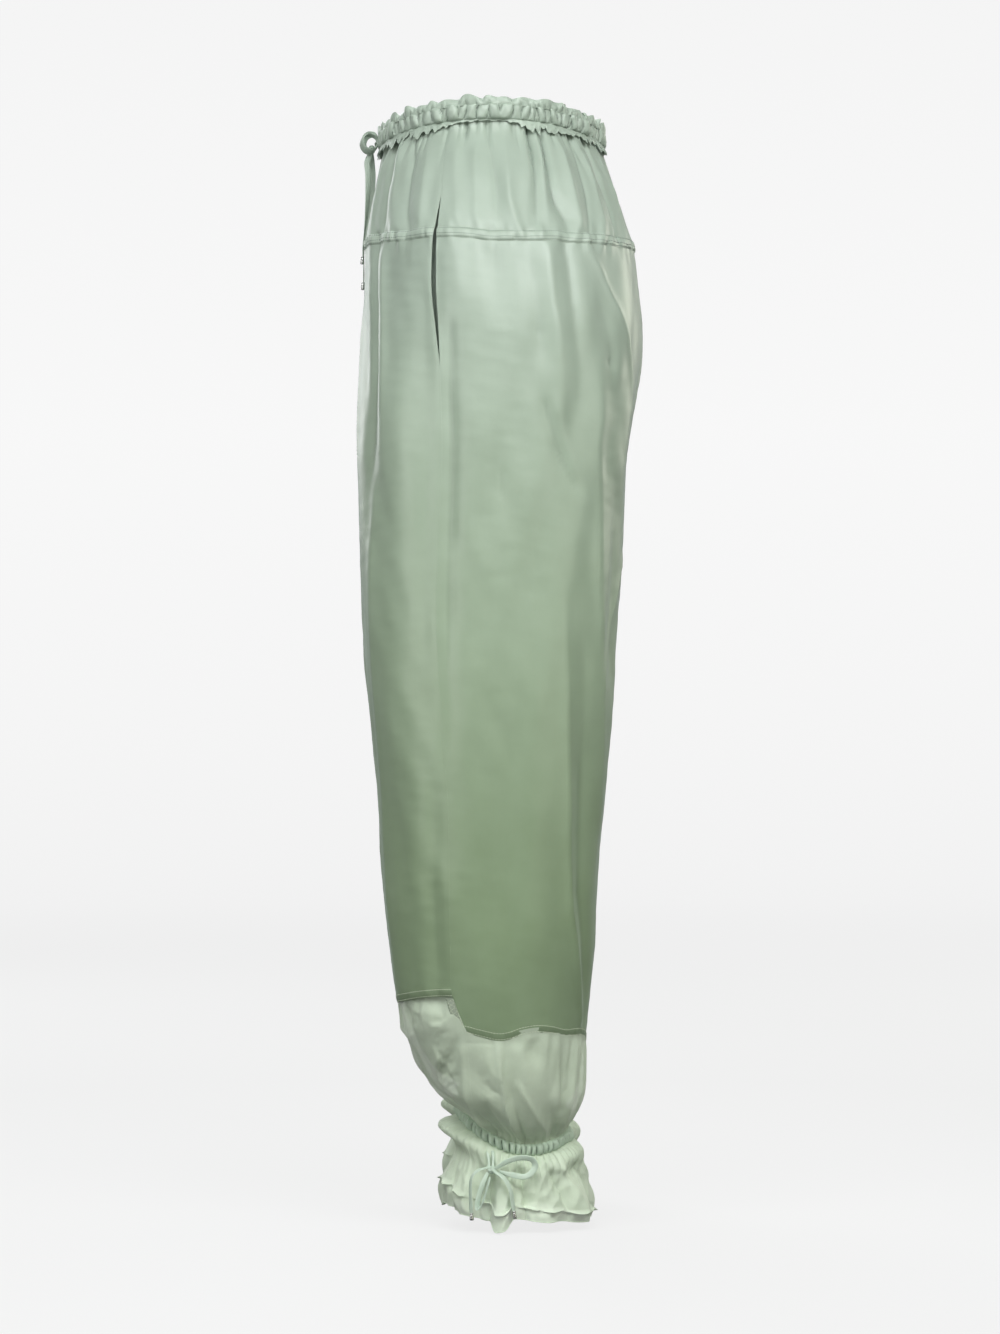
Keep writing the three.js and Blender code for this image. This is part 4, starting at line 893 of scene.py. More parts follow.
for side, word in ((1, "left"), (-1, "right")):
    def X(p):
        return (side * p[0], p[1], p[2])
    lump(f"bow_knot_ankle_{word}", X((148.6, 0, -934.5)), (3.3, 3.9, 3.5), 5 + side, f"ankle_knot_{word}")
    o, C, ln = flat_tie(f"tie_ankle_loop_back_{word}", [X(p) for p in (
        (150.0, 3.6, -933.0), (153, 14, -926.5), (154, 26, -923.2), (153.6, 36, -925), (153, 38.6, -931),
        (154.6, 31, -939.4), (153.6, 19, -938.6), (151.4, 7, -935.8))], (side, 0, 0.1),
        [f"ankle_loop_back_{word}"], twist=0.35, taper=([0, .15, .5, .85, 1], [.6, .95, 1.08, 1.0, .6]))
    o, C, ln = flat_tie(f"tie_ankle_loop_front_{word}", [X(p) for p in (
        (150.4, -3.4, -936.8), (154.2, -8.2, -947), (156.2, -12.0, -960), (157.6, -12.4, -968), (159.8, -9.4, -965),
        (158.6, -4.8, -952), (154.0, -1.6, -940.6))], (side, 0, 0), [f"ankle_loop_front_{word}"],
        twist=-0.3, taper=([0, .15, .5, .85, 1], [.6, .95, 1.0, .95, .6]))
    tip = metal_tip(f"tie_end_ankle_back_{word}", X((158.8, 19.6, -969.7)), X((158.8, 20.6, -976.6)), f"ankle_tip_back_{word}")
    o, C, ln = flat_tie(f"tie_ankle_tail_back_{word}", [X(p) for p in (
        (139.6, 0.8, -918.6), (142.8, 1.3, -923), (146.0, 1.2, -929.6), (150.6, 1.2, -933.6), (155.2, 3.8, -936.0),
        (157.0, 11, -941), (158.2, 16.6, -951), (158.8, 18.6, -963), (158.8, 19.7, -970.2))], (side, 0, 0),
        [f"ankle_strands_{word}", f"ankle_tail_back_{word}"], n=56, width=4.6,
        taper=([0, .16, .3, .5, .92, 1], [.55, .5, .6, 1.0, 1.0, .7]))
    tip = metal_tip(f"tie_end_ankle_front_{word}", X((152.8, -17.9, -972.2)), X((152.8, -17.5, -978.7)), f"ankle_tip_front_{word}")
    o, C, ln = flat_tie(f"tie_ankle_tail_front_{word}", [X(p) for p in (
        (139.4, -3.4, -919.0), (142.4, -3.0, -923.4), (145.6, -2.2, -930.2), (148.0, -3.6, -932.2), (151.0, -12, -934.6),
        (151.6, -17.6, -940.6), (152.2, -18.8, -952), (152.8, -18.4, -966), (152.8, -18, -972.6))], (side, 0, 0),
        [f"ankle_tail_front_{word}"], n=56, width=4.6, twist=0.4,
        taper=([0, .16, .26, .4, .92, 1], [.55, .5, .6, 1.0, 1.0, .7]))

# ------------------------------------------------------------------ waist: casing, heading, frill
def waist_ring(t, z, grow):
    c, q = np.cos(t), np.sin(t)
    r = 1 / np.hypot(c / WAIST_HALF_WIDTH, q / WAIST_HALF_DEPTH) + grow
    return np.stack([r * c, r * q, waist_z(t) + z], -1)


def lobes(t, pinches, radius, power=0.62):
    """1 on a fold's crown, 0 in the pinch between two folds, from a list of pinch angles."""
    a = np.sort(np.array([p[0] for p in pinches]))
    a = np.concatenate([a[-1:] - 2 * PI, a, a[:1] + 2 * PI])
    tt = wrap(t)
    i = np.clip(np.searchsorted(a, tt, side="right") - 1, 0, len(a) - 2)
    f = np.clip((tt - a[i]) / (a[i + 1] - a[i]), 0, 1)
    d = np.array([p[1] for p in sorted(pinches)])
    d = np.concatenate([d[-1:], d, d[:1]])
    deep = lerp(d[i], d[i + 1], smooth(f))                   # some pinches are shallow
    return 1 - deep * (1 - np.sin(PI * f) ** power), (a[i + 1] - a[i]) * radius, i


COLS = 900
t_ring = np.linspace(-PI, PI, COLS, endpoint=False)
rows = 15
al = np.linspace(-1, 1, rows)
P = np.zeros((rows, COLS, 3))
g1 = np.random.default_rng(77)
slant = g1.uniform(-1.4, 1.4, 400)
swell = g1.uniform(0.6, 1.25, 400)
lean_of = g1.uniform(-1, 1, 400)
for k, f in enumerate(al):
    lob, wide, idx = lobes(t_ring, WAIST_PINCHES, 108.0)
    lob, wide, idx = lobes(t_ring + 2.4 * slant[idx] * f / 108.0, WAIST_PINCHES, 108.0, 0.52)
    up = math.sin(f * PI / 2) * (CASING_HALF_HEIGHT + 0.2)
    belly = math.cos(f * PI / 2) ** 0.5 if f < 0 else 0.35 + 0.65 * math.cos(f * PI / 2) ** 0.5
    size = swell[idx] * np.clip(wide / 7.4, 0.5, 1.3)
    tilt = 1 + 0.22 * f * lean_of[idx]
    out = 0.3 + belly * (0.5 + 4.7 * lob * size * tilt) + 0.35 * waves(t_ring * 108, f * 6.0 + 0 * t_ring, 401, 7, 9)
    edge = abs(f) ** 4
    P[k] = waist_ring(t_ring, up + 0.5 * edge * (lob - 0.5) * np.sign(f), out)
Q = [P[k] for k in range(rows)] + [waist_ring(t_ring, u * CASING_HALF_HEIGHT, 0.15) for u in (0.6, 0, -0.6)]
ring = np.stack(Q, 0)
V = ring.reshape(-1, 3)
F = quads(ring.shape[0], COLS, True, False)
i = np.arange(COLS)
i2 = (i + 1) % COLS
last = (ring.shape[0] - 1) * COLS
F = np.concatenate([F, np.stack([last + i, last + i2, i2, i], -1)])
o = make("cloth_waist_casing", V, F, M_CASING)
fix_normals(o)
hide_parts("waist_casing")
print("AREA casing", area(ring, True))


# heading: the gathered upper edge, fluted and uneven
g2 = np.random.default_rng(91)
HEAD = gathers(None, 108.0, 12.5, 92)
head_size = g2.uniform(0.35, 1.3, 400)
head_lean = g2.uniform(-1, 1, 400)
rows = 11
P = np.zeros((rows, COLS, 3))
lob, wide, idx = lobes(t_ring, WAIST_PINCHES, 108.0, 0.7)
lob2, wide2, idx2 = lobes(t_ring, HEAD, 108.0, 0.85)
rise = 0.74 + 0.40 * lob2 * head_size[idx2]
rise = np.convolve(np.concatenate([rise[-3:], rise, rise[:3]]), np.ones(7) / 7, "valid")
for k, f in enumerate(np.linspace(0, 1, rows)):
    flute = (lob - 0.5) * 2.8 * (1 - f) ** 1.1 + (lob2 * head_size[idx2] - 0.45) * 4.6 * f ** 1.3
    flute += 0.9 * f * waves(t_ring * 108, f * 8 + 0 * t_ring, 411, 16, 20)
    z = CASING_HALF_HEIGHT - 1.2 + f * (HEADING_HEIGHT + 0.9) * rise + 0.9 * f * waves(t_ring * 108, 0 * t_ring, 412, 22, 50)
    tt = t_ring + head_lean[idx2] * f * f * 2.6 / 108.0 * lob2
    P[k] = waist_ring(tt, z, 2.7 + flute - 1.2 * f + 1.1 * math.sin(f * PI))
v, f = shell(P, 0.55, True, away=np.array([0, 0, 8.0]))
o = make("cloth_waist_heading", v, f, M_CASING)
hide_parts("waist_heading")
print("AREA heading", area(P, True))

# frill: the turned edge hanging under the casing, scalloped by its gathers
def torso_ring(t, z, out):
    """The outer face at a true angle about the garment's middle, without folds."""
    sgn = np.where(np.cos(t) >= 0, 1.0, -1.0)
    cx, a, cy, b, n = section(z)
    dx, dy = np.abs(np.cos(t)), np.sin(t)
    lo, hi = np.full(t.shape, 20.0), np.full(t.shape, 260.0)
    for _ in range(30):
        m = (lo + hi) / 2
        val = np.abs((m * dx - cx) / a) ** n + np.abs((m * dy - cy) / b) ** n
        inside = np.where(m * dx < cx, (np.abs((m * dy - cy) / b) < 1) & (val < 1), val < 1)
        lo, hi = np.where(inside, m, lo), np.where(inside, hi, m)
    r = lo + out
    return np.stack([sgn * r * dx, r * dy, z], -1)


FRILL = gathers(None, 108.0, 7.4, 95)
frill_size = g2.uniform(0.3, 1.25, 400)
lob3, wide3, idx3 = lobes(t_ring, FRILL, 108.0, 0.7)
# how far the turned edge hangs out from under the casing, by angle: tucked up at the sides, out in front and behind
SHOWN = np.array([(-180, .55), (-162, .8), (-140, .35), (-120, .9), (-104, .6), (-84, .55), (-66, .8), (-50, .95), (-26, .9), (-18, .3), (-6, .12),
                  (6, .12), (13, .6), (18, .95), (36, .9), (44, .5), (52, .9), (70, .6), (95, .3), (118, .85), (150, .9),
                  (166, .3), (180, .55)], float)
shown = np.interp(t_ring / R, SHOWN[:, 0], SHOWN[:, 1])
P = np.zeros((rows, COLS, 3))
for k, f in enumerate(np.linspace(0, 1, rows)):
    jag = 0.60 * (lob3 * frill_size[idx3]) + 0.26 * waves(t_ring * 108, 0 * t_ring, 422, 6, 50)
    z = waist_z(t_ring) - CASING_HALF_HEIGHT + 0.8 - f * SELVAGE_DROP * (0.16 + shown * (0.28 + jag))
    out = 1.2 + 0.5 * smooth(f / 0.35) * smooth(shown / 0.4) + f * shown * (0.1 + 1.5 * lob3 * frill_size[idx3]) + 0.5 * f * waves(t_ring * 108, f * 9 + 0 * t_ring, 421, 9, 9)
    P[k] = torso_ring(t_ring, z, out)
v, f = shell(P, 0.5, True, away=np.array([0, 0, -10.0]))
o = make("cloth_waist_frill", v, f, M_CASING)
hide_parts("waist_frill")
print("AREA frill", area(P, True))

# ------------------------------------------------------------------ yoke, its seam band, and its stitching
THICK = 0.75
yoke_top = lambda t: waist_z(t) - CASING_HALF_HEIGHT + 1.2
yoke_low = lambda t: yoke_seam_z(t) + 1.2
band_top = lambda t: yoke_seam_z(t) + BAND_HALF_HEIGHT + 0.7
band_low = lambda t: yoke_seam_z(t) - BAND_HALF_HEIGHT - 0.7
for end, word in ((-1, "front"), (1, "back")):
    half = 190 if end < 0 else 225
    P = both_sides(None, 50, half, end, yoke_top, yoke_low)
    v, f = shell(P, THICK, away=np.array([0, 0, -60.0]))
    o = make(f"cloth_yoke_{word}", v, f, M_SATIN)
    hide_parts(f"yoke_{word}")
    print("AREA yoke", word, area(P))
    # band: a felled seam, raised, with rounded edges
    rows = 9
    f_rows = np.linspace(-1, 1, rows)
    P = both_sides(None, rows, half, end, band_top, band_low)
    lift = (1.25 * (1 - np.abs(f_rows) ** 6) + 0.12)[:, None]
    s = np.arange(P.shape[1])
    lift = lift * (1 + 0.22 * np.sin(s * 0.41 + 1.5 * np.sin(s * 0.073)) + 0.16 * np.sin(s * 1.13))[None]
    lift = lift - 0.28 * np.exp(-((np.abs(f_rows) - 0.72) / 0.14) ** 2)[:, None]
    n = normals(P, False)
    if (n * (P - np.array([0, 0, -104.0]))).sum() < 0:
        n = -n
    P = P + n * lift[..., None]
    v, f = shell(P, 1.1, away=np.array([0, 0, -104.0]))
    o = make(f"cloth_seam_band_{word}", v, f, M_CASING)
    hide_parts(f"seam_band_{word}")
    print("AREA band", word, area(P))
    # rows of dark thread: painted shade of the stitch holes
    for r in (1, rows - 4, rows - 2):
        stitches(P[r] + n[r] * 0.03, n[r], 2.2, 1.25, 0.78, 0.3)

# ------------------------------------------------------------------ legs, hem bands, cuffs
leg_top = lambda t: yoke_seam_z(t) - 1.2


def cuff_point(side, th, v):
    z = lerp(-780.0, ankle_z(th) + ANKLE_HALF_HEIGHT + GAP, v)
    top = outer(side, th, np.maximum(z, -820.0), 0.0, 0.0)
    c, q = np.cos(th), np.sin(th)
    r = 1 / np.hypot(c / ANKLE_HALF_WIDTH, q / ANKLE_HALF_DEPTH) + ANKLE_THICK * 0.6
    low = np.stack([side * (ANKLE_CX + r * c), ANKLE_CY + r * q, z], -1)
    w = c ** 2
    f = np.where(q < 0, 1 - w, 0)
    b = 1 - w - f
    g = read(CUFF, v, 1) * f + read(CUFF, v, 2) * w + read(CUFF, v, 3) * b
    P = lerp(top, low, g[..., None])
    P[..., 2] = z
    return P


CUFF = np.array([
    [0.00, 0.00, 0.00, 0.00], [0.30, 0.02, 0.00, 0.00], [0.50, 0.20, 0.10, 0.06], [0.70, 0.42, 0.26, 0.16],
    [0.86, 0.62, 0.55, 0.46], [0.94, 0.80, 0.80, 0.78], [0.98, 0.96, 0.96, 0.96], [1.00, 1.00, 1.00, 1.00],
])
# troughs and crests of the sheer cuff: rows of (v, angle, depth, half width), v from the hem to the casing
def settle(o, held, frames, grow, cap, ease, bend=0.05, gravity=0.3):
    """Lets a thin piece buckle as cloth a little larger than its space, its held points fixed."""
    me = o.data
    n = len(me.vertices)
    start = np.empty(n * 3)
    me.vertices.foreach_get("co", start)
    vg = o.vertex_groups.new(name="held")
    vg.add([int(i) for i in held], 1.0, "REPLACE")
    mod = o.modifiers.new("cloth", "CLOTH")
    st = mod.settings
    st.quality = 6
    st.mass = 0.05
    st.tension_stiffness = 12
    st.compression_stiffness = 12
    st.shear_stiffness = 4
    st.bending_stiffness = bend
    st.air_damping = 3
    st.vertex_group_mass = "held"
    st.shrink_min = -grow
    st.effector_weights.gravity = gravity
    mod.collision_settings.use_collision = False
    mod.collision_settings.use_self_collision = False
    mod.point_cache.frame_start = 1
    mod.point_cache.frame_end = frames
    for k in range(1, frames + 1):
        scene.frame_set(k)
    ev = o.evaluated_get(bpy.context.evaluated_depsgraph_get())
    me2 = ev.to_mesh()
    co = np.empty(n * 3)
    me2.vertices.foreach_get("co", co)
    ev.to_mesh_clear()
    o.modifiers.remove(mod)
    o.vertex_groups.clear()
    scene.frame_set(1)
    d = (co - start).reshape(-1, 3) * 1000.0
    size = np.linalg.norm(d, axis=1, keepdims=True) + 1e-9
    print("SETTLE", o.name, "mean", float(size.mean()), "max", float(size.max()))
    d *= np.minimum(1.0, cap / size) * ease[:, None]
    new = start.reshape(-1, 3) * 1000.0 + d
    me.vertices.foreach_set("co", (new * 0.001).ravel())
    me.update()
    return new


CUFF_FOLDS = [
    # a long ridge beside the seam, then creases fanning up from the casing
    ([(0.25, -20, 0, 4), (0.41, -22, 2.4, 3.5), (0.92, -27, 3.4, 3.5), (1.0, -28, 1.5, 4)], 1.2),
    ([(0.66, -10, 0, 8), (0.86, -9, -6.0, 8), (1.0, -8, -4.0, 7)], 1.7),
    ([(0.80, -21, 0, 2.5), (0.9, -20, -3.5, 2.5), (1.0, -18.5, -3.0, 3)], 1.3),
    ([(0.38, 1, 0, 4), (0.55, 3, 3.6, 4), (0.8, 5, 3.6, 3.6), (1.0, 6.6, 1.8, 3.5)], 1.15),
    ([(0.45, 10, 0, 7), (0.62, 10, -4.2, 7), (0.82, 11, -5.4, 6), (1.0, 13, -3.0, 5)], 1.5),
    ([(0.46, 11, 0, 3), (0.61, 15, 3.2, 3.6), (0.81, 27, 3.8, 4), (1.0, 39, 1.6, 4)], 1.15),
    ([(0.20, 26, 0, 8), (0.34, 24, -3.6, 9), (0.5, 27, 0, 8)], 1.8),
    ([(0.42, 33, 0, 7), (0.62, 34, -2.6, 8), (0.84, 40, -3.0, 7), (1.0, 44, -2, 5)], 1.6),
    ([(0.44, 46, 0, 4), (0.60, 46, -3.6, 4), (0.76, 47, -2.6, 4), (0.84, 48, 0, 4)], 1.3),
    ([(0.25, 60, 0, 5), (0.45, 57, 2.6, 5), (0.7, 54, 3.0, 5), (1.0, 54, 1.2, 4)], 1.2),
    ([(0.30, 76, 0, 5), (0.52, 71, 3.4, 5), (0.75, 68, 2.4, 5), (1.0, 66, 0.8, 4)], 1.3),
    ([(0.50, 84, 0, 7), (0.8, 80, -4.4, 7), (1.0, 78, -2.5, 5)], 1.6),
    ([(0.28, -44, 0, 4), (0.44, -38, 2.4, 4), (0.62, -30, 1.6, 4), (0.75, -26, 0, 4)], 1.2),
    ([(0.30, -34, 0, 4), (0.46, -40, 2.0, 4), (0.66, -47, 1.8, 4), (0.9, -50, 0.8, 4)], 1.2),
    ([(0.20, -56, 0, 9), (0.50, -54, -2.2, 10), (0.9, -46, -3.6, 7), (1.0, -44, -2, 5)], 1.7),
    ([(0.30, -66, 0, 5), (0.60, -66, 2.6, 5), (1.0, -62, 1.4, 4)], 1.3),
    ([(0.20, -78, 0, 8), (0.6, -76, -2.8, 8), (0.9, -72, -4.0, 6), (1.0, -70, -2, 4)], 1.6),
    ([(0.20, -95, 0, 8), (0.6, -98, 3.4, 6), (1.0, -100, 1.4, 4)], 1.2),
    ([(0.20, 100, 0, 8), (0.6, 104, 3.4, 6), (1.0, 106, 1.4, 4)], 1.2),
    ([(0.35, 112, 0, 8), (0.7, 115, -3.4, 7), (1.0, 117, -2, 5)], 1.6),
    ([(0.25, 128, 0, 6), (0.7, 124, 3.8, 5), (1.0, 122, 2, 4)], 1.2),
    ([(0.25, -128, 0, 8), (0.7, -124, -3.8, 7), (1.0, -120, -2, 5)], 1.6),
    ([(0.25, 142, 0, 8), (0.7, 139, -3.8, 7), (1.0, 136, -2, 5)], 1.6),
    ([(0.3, 156, 0, 8), (0.7, 152, 3.0, 5), (1.0, 150, 1, 5)], 1.2),
    ([(0.3, -156, 0, 8), (0.7, -152, 3.0, 5), (1.0, -150, 1, 5)], 1.2),
]
ANKLE_PINCHES = {1: gathers(None, 45.0, 4.9, 61, 0.7, 1.35, 0.75), -1: gathers(None, 45.0, 4.9, 67, 0.7, 1.35, 0.75)}


def cuff_surface(side, th, v):
    P = cuff_point(side, th, v)
    n = normals(P, False)
    ref = P - np.array([side * 93.0, 12.0, -850.0])
    ref[..., 2] = 0
    if (n * ref).sum() < 0:
        n = -n
    radius = np.hypot(P[..., 0] - side * 93, P[..., 1] - 12)
    folds = CUFF_FOLDS if side > 0 else varied_cuff
    zz = -v * 100.0
    rows_f = [([(-r[0] * 100, r[1], r[2], r[3]) for r in rows_], s_) for rows_, s_ in folds]
    d = fold_sum(rows_f, th, zz, radius)
    s = th * 75.0
    z = P[..., 2]
    ease = smooth(v / 0.16)
    d += pinch_sum(ANKLE_PINCHES[side], th, (1 - v) * 118.0, radius, 3.0, 10, 56, 1.7) * (v > 0.2)
    d += 0.9 * waves(s + 0.5 * z, z - 0.3 * s, 70 + side, 60, 70) * ease * (1 - smooth((v - 0.9) / 0.1) * 0.6)
    d = d - 3.6 * (1 - smooth(v / 0.13))                      # its top edge lies under the hem seam
    return P + n * d[..., None]


g3 = np.random.default_rng(19)
varied_cuff = [([(v_, t_ + off_, d_ * k_, w_) for v_, t_, d_, w_ in rows_], s_)
               for rows_, s_ in CUFF_FOLDS for off_, k_ in [(g3.uniform(-6, 6), g3.uniform(0.7, 1.25))]]

for side, word in ((1, "left"), (-1, "right")):
    for end, wend in ((-1, "front"), (1, "back")):
        hem = front_hem_z if end < 0 else back_hem_z
        rows, cols = (205, 96) if end < 0 else (205, 118)
        th, z = panel_grid(side, end, rows, cols, leg_top, lambda t: hem(t) + 1.5)
        P = outer(side, th, z)
        v, f = shell(P, THICK, away=np.array([side * 90.0, 0, -400.0]))
        o = make(f"cloth_leg_{wend}_{word}", v, f, M_SATIN)
        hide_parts(f"leg_{wend}_{word}")
        print("AREA leg", wend, area(P))
        # hem band
        rows = 8
        f_rows = np.linspace(-1, 1, rows)
        th, z = panel_grid(side, end, rows, cols * 2, lambda t: hem(t) + HEM_HALF_HEIGHT + 0.2,
                           lambda t: hem(t) - HEM_HALF_HEIGHT - 0.2, opening=False)
        P = outer(side, th, z)
        n = normals(P, False)
        if (n * (P - np.array([side * 95.0, 0, -790.0]))).sum() < 0:
            n = -n
        s = np.arange(P.shape[1])
        lift = (0.42 * (1 - np.abs(f_rows) ** 6) + 0.1)[:, None]
        lift = lift * (1 + 0.2 * np.sin(s * 0.37 + 1.3 * np.sin(s * 0.061)) + 0.14 * np.sin(s * 1.07))[None]
        lift = lift - 0.25 * np.exp(-((np.abs(f_rows) - 0.7) / 0.14) ** 2)[:, None]
        P = P + n * lift[..., None]
        v, f = shell(P, 1.0, away=np.array([side * 95.0, 0, -790.0]))
        face_mat = np.zeros(len(f), dtype=np.int32)
        if end > 0:
            # the allowance of the slanting step, seen through the sheer beside the seam
            zz_ = np.linspace(-780.5, -806.5, 22)[:, None]
            uu_ = np.linspace(0, 1, 7)[None, :]
            wide_ = 6.4 * smooth((zz_ + 812) / 14)
            A_ = outer(side, side_seam(zz_) - (0.6 + wide_ * uu_) / 82.0, zz_ + 0 * uu_, 0.55)
            v2, f2 = shell(A_, 0.3, away=np.array([side * 95.0, 0, -790.0]))
            f = np.concatenate([f, f2 + len(v)])
            face_mat = np.concatenate([face_mat, np.ones(len(f2), dtype=np.int32)])
            v = np.concatenate([v, v2])
            na_ = normals(A_, False)
            na_ = na_ if (na_[..., 0] * side).sum() > 0 else -na_
            for ia, ib in ((0, 6), (6, 0)):
                pa = np.stack([A_[k, ia if (k // 3) % 2 == 0 else ib] for k in range(0, 22, 3)])
                stitches(pa, na_[::3, 3][:len(pa)], 1.9, 1.5, 0.5, 0.3, "pale")
            stitches(A_[:, 0] + na_[:, 0] * 0.05, na_[:, 0], 2.4, 1.9, 0.55, 0.35, "pale")
            stitches(A_[:, 6] + na_[:, 6] * 0.05, na_[:, 6], 2.4, 1.9, 0.55, 0.35, "dark")
        o = make(f"cloth_hem_band_{wend}_{word}", v, f, [M_HEM, M_ALLOWANCE], face_mat)
        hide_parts(f"hem_band_{wend}_{word}")
        print("AREA hem", wend, area(P))
        for r in (1, rows - 2):
            stitches(P[r] + n[r] * 0.04, n[r], 2.6, 2.1, 0.62, 0.42, "pale")
        # sheer cuff
        rows, cols = 64, (110 if end < 0 else 140)
        vv = np.linspace(0, 1, rows)[:, None]
        uu = np.linspace(0, 1, cols)[None, :]
        th = np.full((rows, cols), end * 1.57)
        for _ in range(8):
            v0 = (-780.0 - (hem(th) + 1.0)) / (-780.0 - (ankle_z(th) + ANKLE_HALF_HEIGHT + GAP))
            v = lerp(v0, 1.015, vv)
            z = lerp(-780.0, ankle_z(th) + ANKLE_HALF_HEIGHT + GAP, v)
            seam = side_seam(np.maximum(z, -820.0)) - 4 * R * smooth((-820 - z) / 80)
            th = lerp(seam + end * 0.02 / 60, end * (PI - 0.15 / 40), uu)
        P = cuff_surface(side, th, v)
        n = normals(P, False)
        ref = P - np.array([side * 93.0, 12.0, -850.0])
        flip = (n * ref).sum() < 0
        o = make(f"cloth_cuff_{wend}_{word}", P.reshape(-1, 3), quads(rows, cols, False, flip), M_SHEER)
        grid_i = np.arange(rows * cols).reshape(rows, cols)
        held = np.unique(np.concatenate([grid_i[:2].ravel(), grid_i[-1:].ravel(), grid_i[:, 0], grid_i[:, -1]]))
        free_part = np.broadcast_to(smooth((1 - vv) / 0.45) * smooth(vv / 0.16), (rows, cols)) * smooth(uu / 0.12)
        P = settle(o, held, 24, 0.06, 3.4, free_part.ravel()).reshape(rows, cols, 3)
        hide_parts(f"cuff_{wend}_{word}")
        print("AREA cuff", wend, area(P))

# ------------------------------------------------------------------ ankle casings and hem ruffles
# how far the ruffle stands out from the ankle, down its length, at the front, outer side, back and inner side
RUFFLE = np.array([
    [0.00, 2.0, 2.0, 2.0, 2.0], [0.06, 17.0, 5.0, 9.0, 6.0], [0.14, 19.0, 7.5, 13.5, 9.0], [0.24, 9.0, 9.0, 14.0, 10.5],
    [0.33, 5.0, 10.0, 11.5, 11.0], [0.50, 9.5, 11.5, 15.5, 12.5], [0.66, 16.0, 13.5, 20.5, 14.5], [0.80, 20.0, 15.0, 23.0, 16.0],
    [0.92, 19.0, 15.6, 22.6, 16.5], [1.00, 17.0, 16.0, 21.2, 16.8],
])
# broad folds of the ruffle: rows of (v, angle, depth, half width)
RUFFLE_FOLDS = [
    ([(0.1, -12, 0, 6), (0.3, -11, 4.0, 7), (0.7, -10, 6.5, 8.5), (1.0, -11, 7.5, 9)], 3.6),
    ([(0.1, 6, 0, 4), (0.35, 7, -4.0, 4), (0.8, 10, -5.0, 5), (1.0, 11, -5, 5)], 1.3),
    ([(0.1, -24, 0, 4), (0.35, -24, -4.0, 4), (0.8, -24, -6.0, 5), (1.0, -24, -6, 5)], 1.3),
    ([(0.1, 18, 0, 5), (0.3, 22, 3.0, 6), (0.7, 28, 4.0, 9), (1.0, 30, 4.0, 9)], 2.0),
    ([(0.12, 30, 0, 3), (0.3, 36, -3.6, 3.6), (0.7, 46, -4.4, 5), (1.0, 50, -3.6, 6)], 1.25),
    ([(0.12, 44, 0, 5), (0.3, 50, 3.4, 5), (0.7, 62, 5.0, 8), (1.0, 66, 5.0, 9)], 1.9),
    ([(0.2, 68, 0, 4), (0.5, 80, -4.0, 5), (1.0, 86, -4.0, 6)], 1.3),
    ([(0.2, 96, 0, 6), (0.6, 102, 4.0, 8), (1.0, 104, 4.0, 9)], 1.9),
    ([(0.2, 118, 0, 4), (0.6, 122, -4.0, 5), (1.0, 124, -4.0, 6)], 1.3),
    ([(0.2, 138, 0, 6), (0.6, 142, 4.4, 8), (1.0, 144, 4.4, 9)], 1.9),
    ([(0.2, 160, 0, 4), (0.6, 162, -4.0, 5), (1.0, 163, -4.0, 6)], 1.3),
    ([(0.2, -176, 0, 6), (0.6, -178, 4.4, 8), (1.0, 180, 4.4, 9)], 1.9),
    ([(0.2, -156, 0, 4), (0.6, -158, -4.2, 5), (1.0, -158, -4.2, 6)], 1.3),
    ([(0.2, -136, 0, 6), (0.6, -138, 4.2, 8), (1.0, -138, 4.2, 9)], 1.9),
    ([(0.2, -116, 0, 4), (0.6, -118, -4.2, 5), (1.0, -118, -4.2, 6)], 1.3),
    ([(0.05, -70, 0, 4), (0.3, -68, -4.2, 4), (0.7, -64, -4.2, 5), (1.0, -62, -4.2, 6)], 1.3),
    ([(0.1, -46, 0, 5), (0.35, -46, 4.0, 6), (0.8, -44, 4.0, 7), (1.0, -43, 3.0, 8)], 1.9),
    ([(0.5, -34, 0, 3), (0.7, -33, -3.0, 3), (1.0, -33, -3.0, 4)], 1.2),
]


def ankle_ring(side, t, z, grow):
    c, q = np.cos(t), np.sin(t)
    r = 1 / np.hypot(c / ANKLE_HALF_WIDTH, q / ANKLE_HALF_DEPTH) + grow
    return np.stack([side * (ANKLE_CX + r * c), ANKLE_CY + r * q, ankle_z(t) + z], -1)


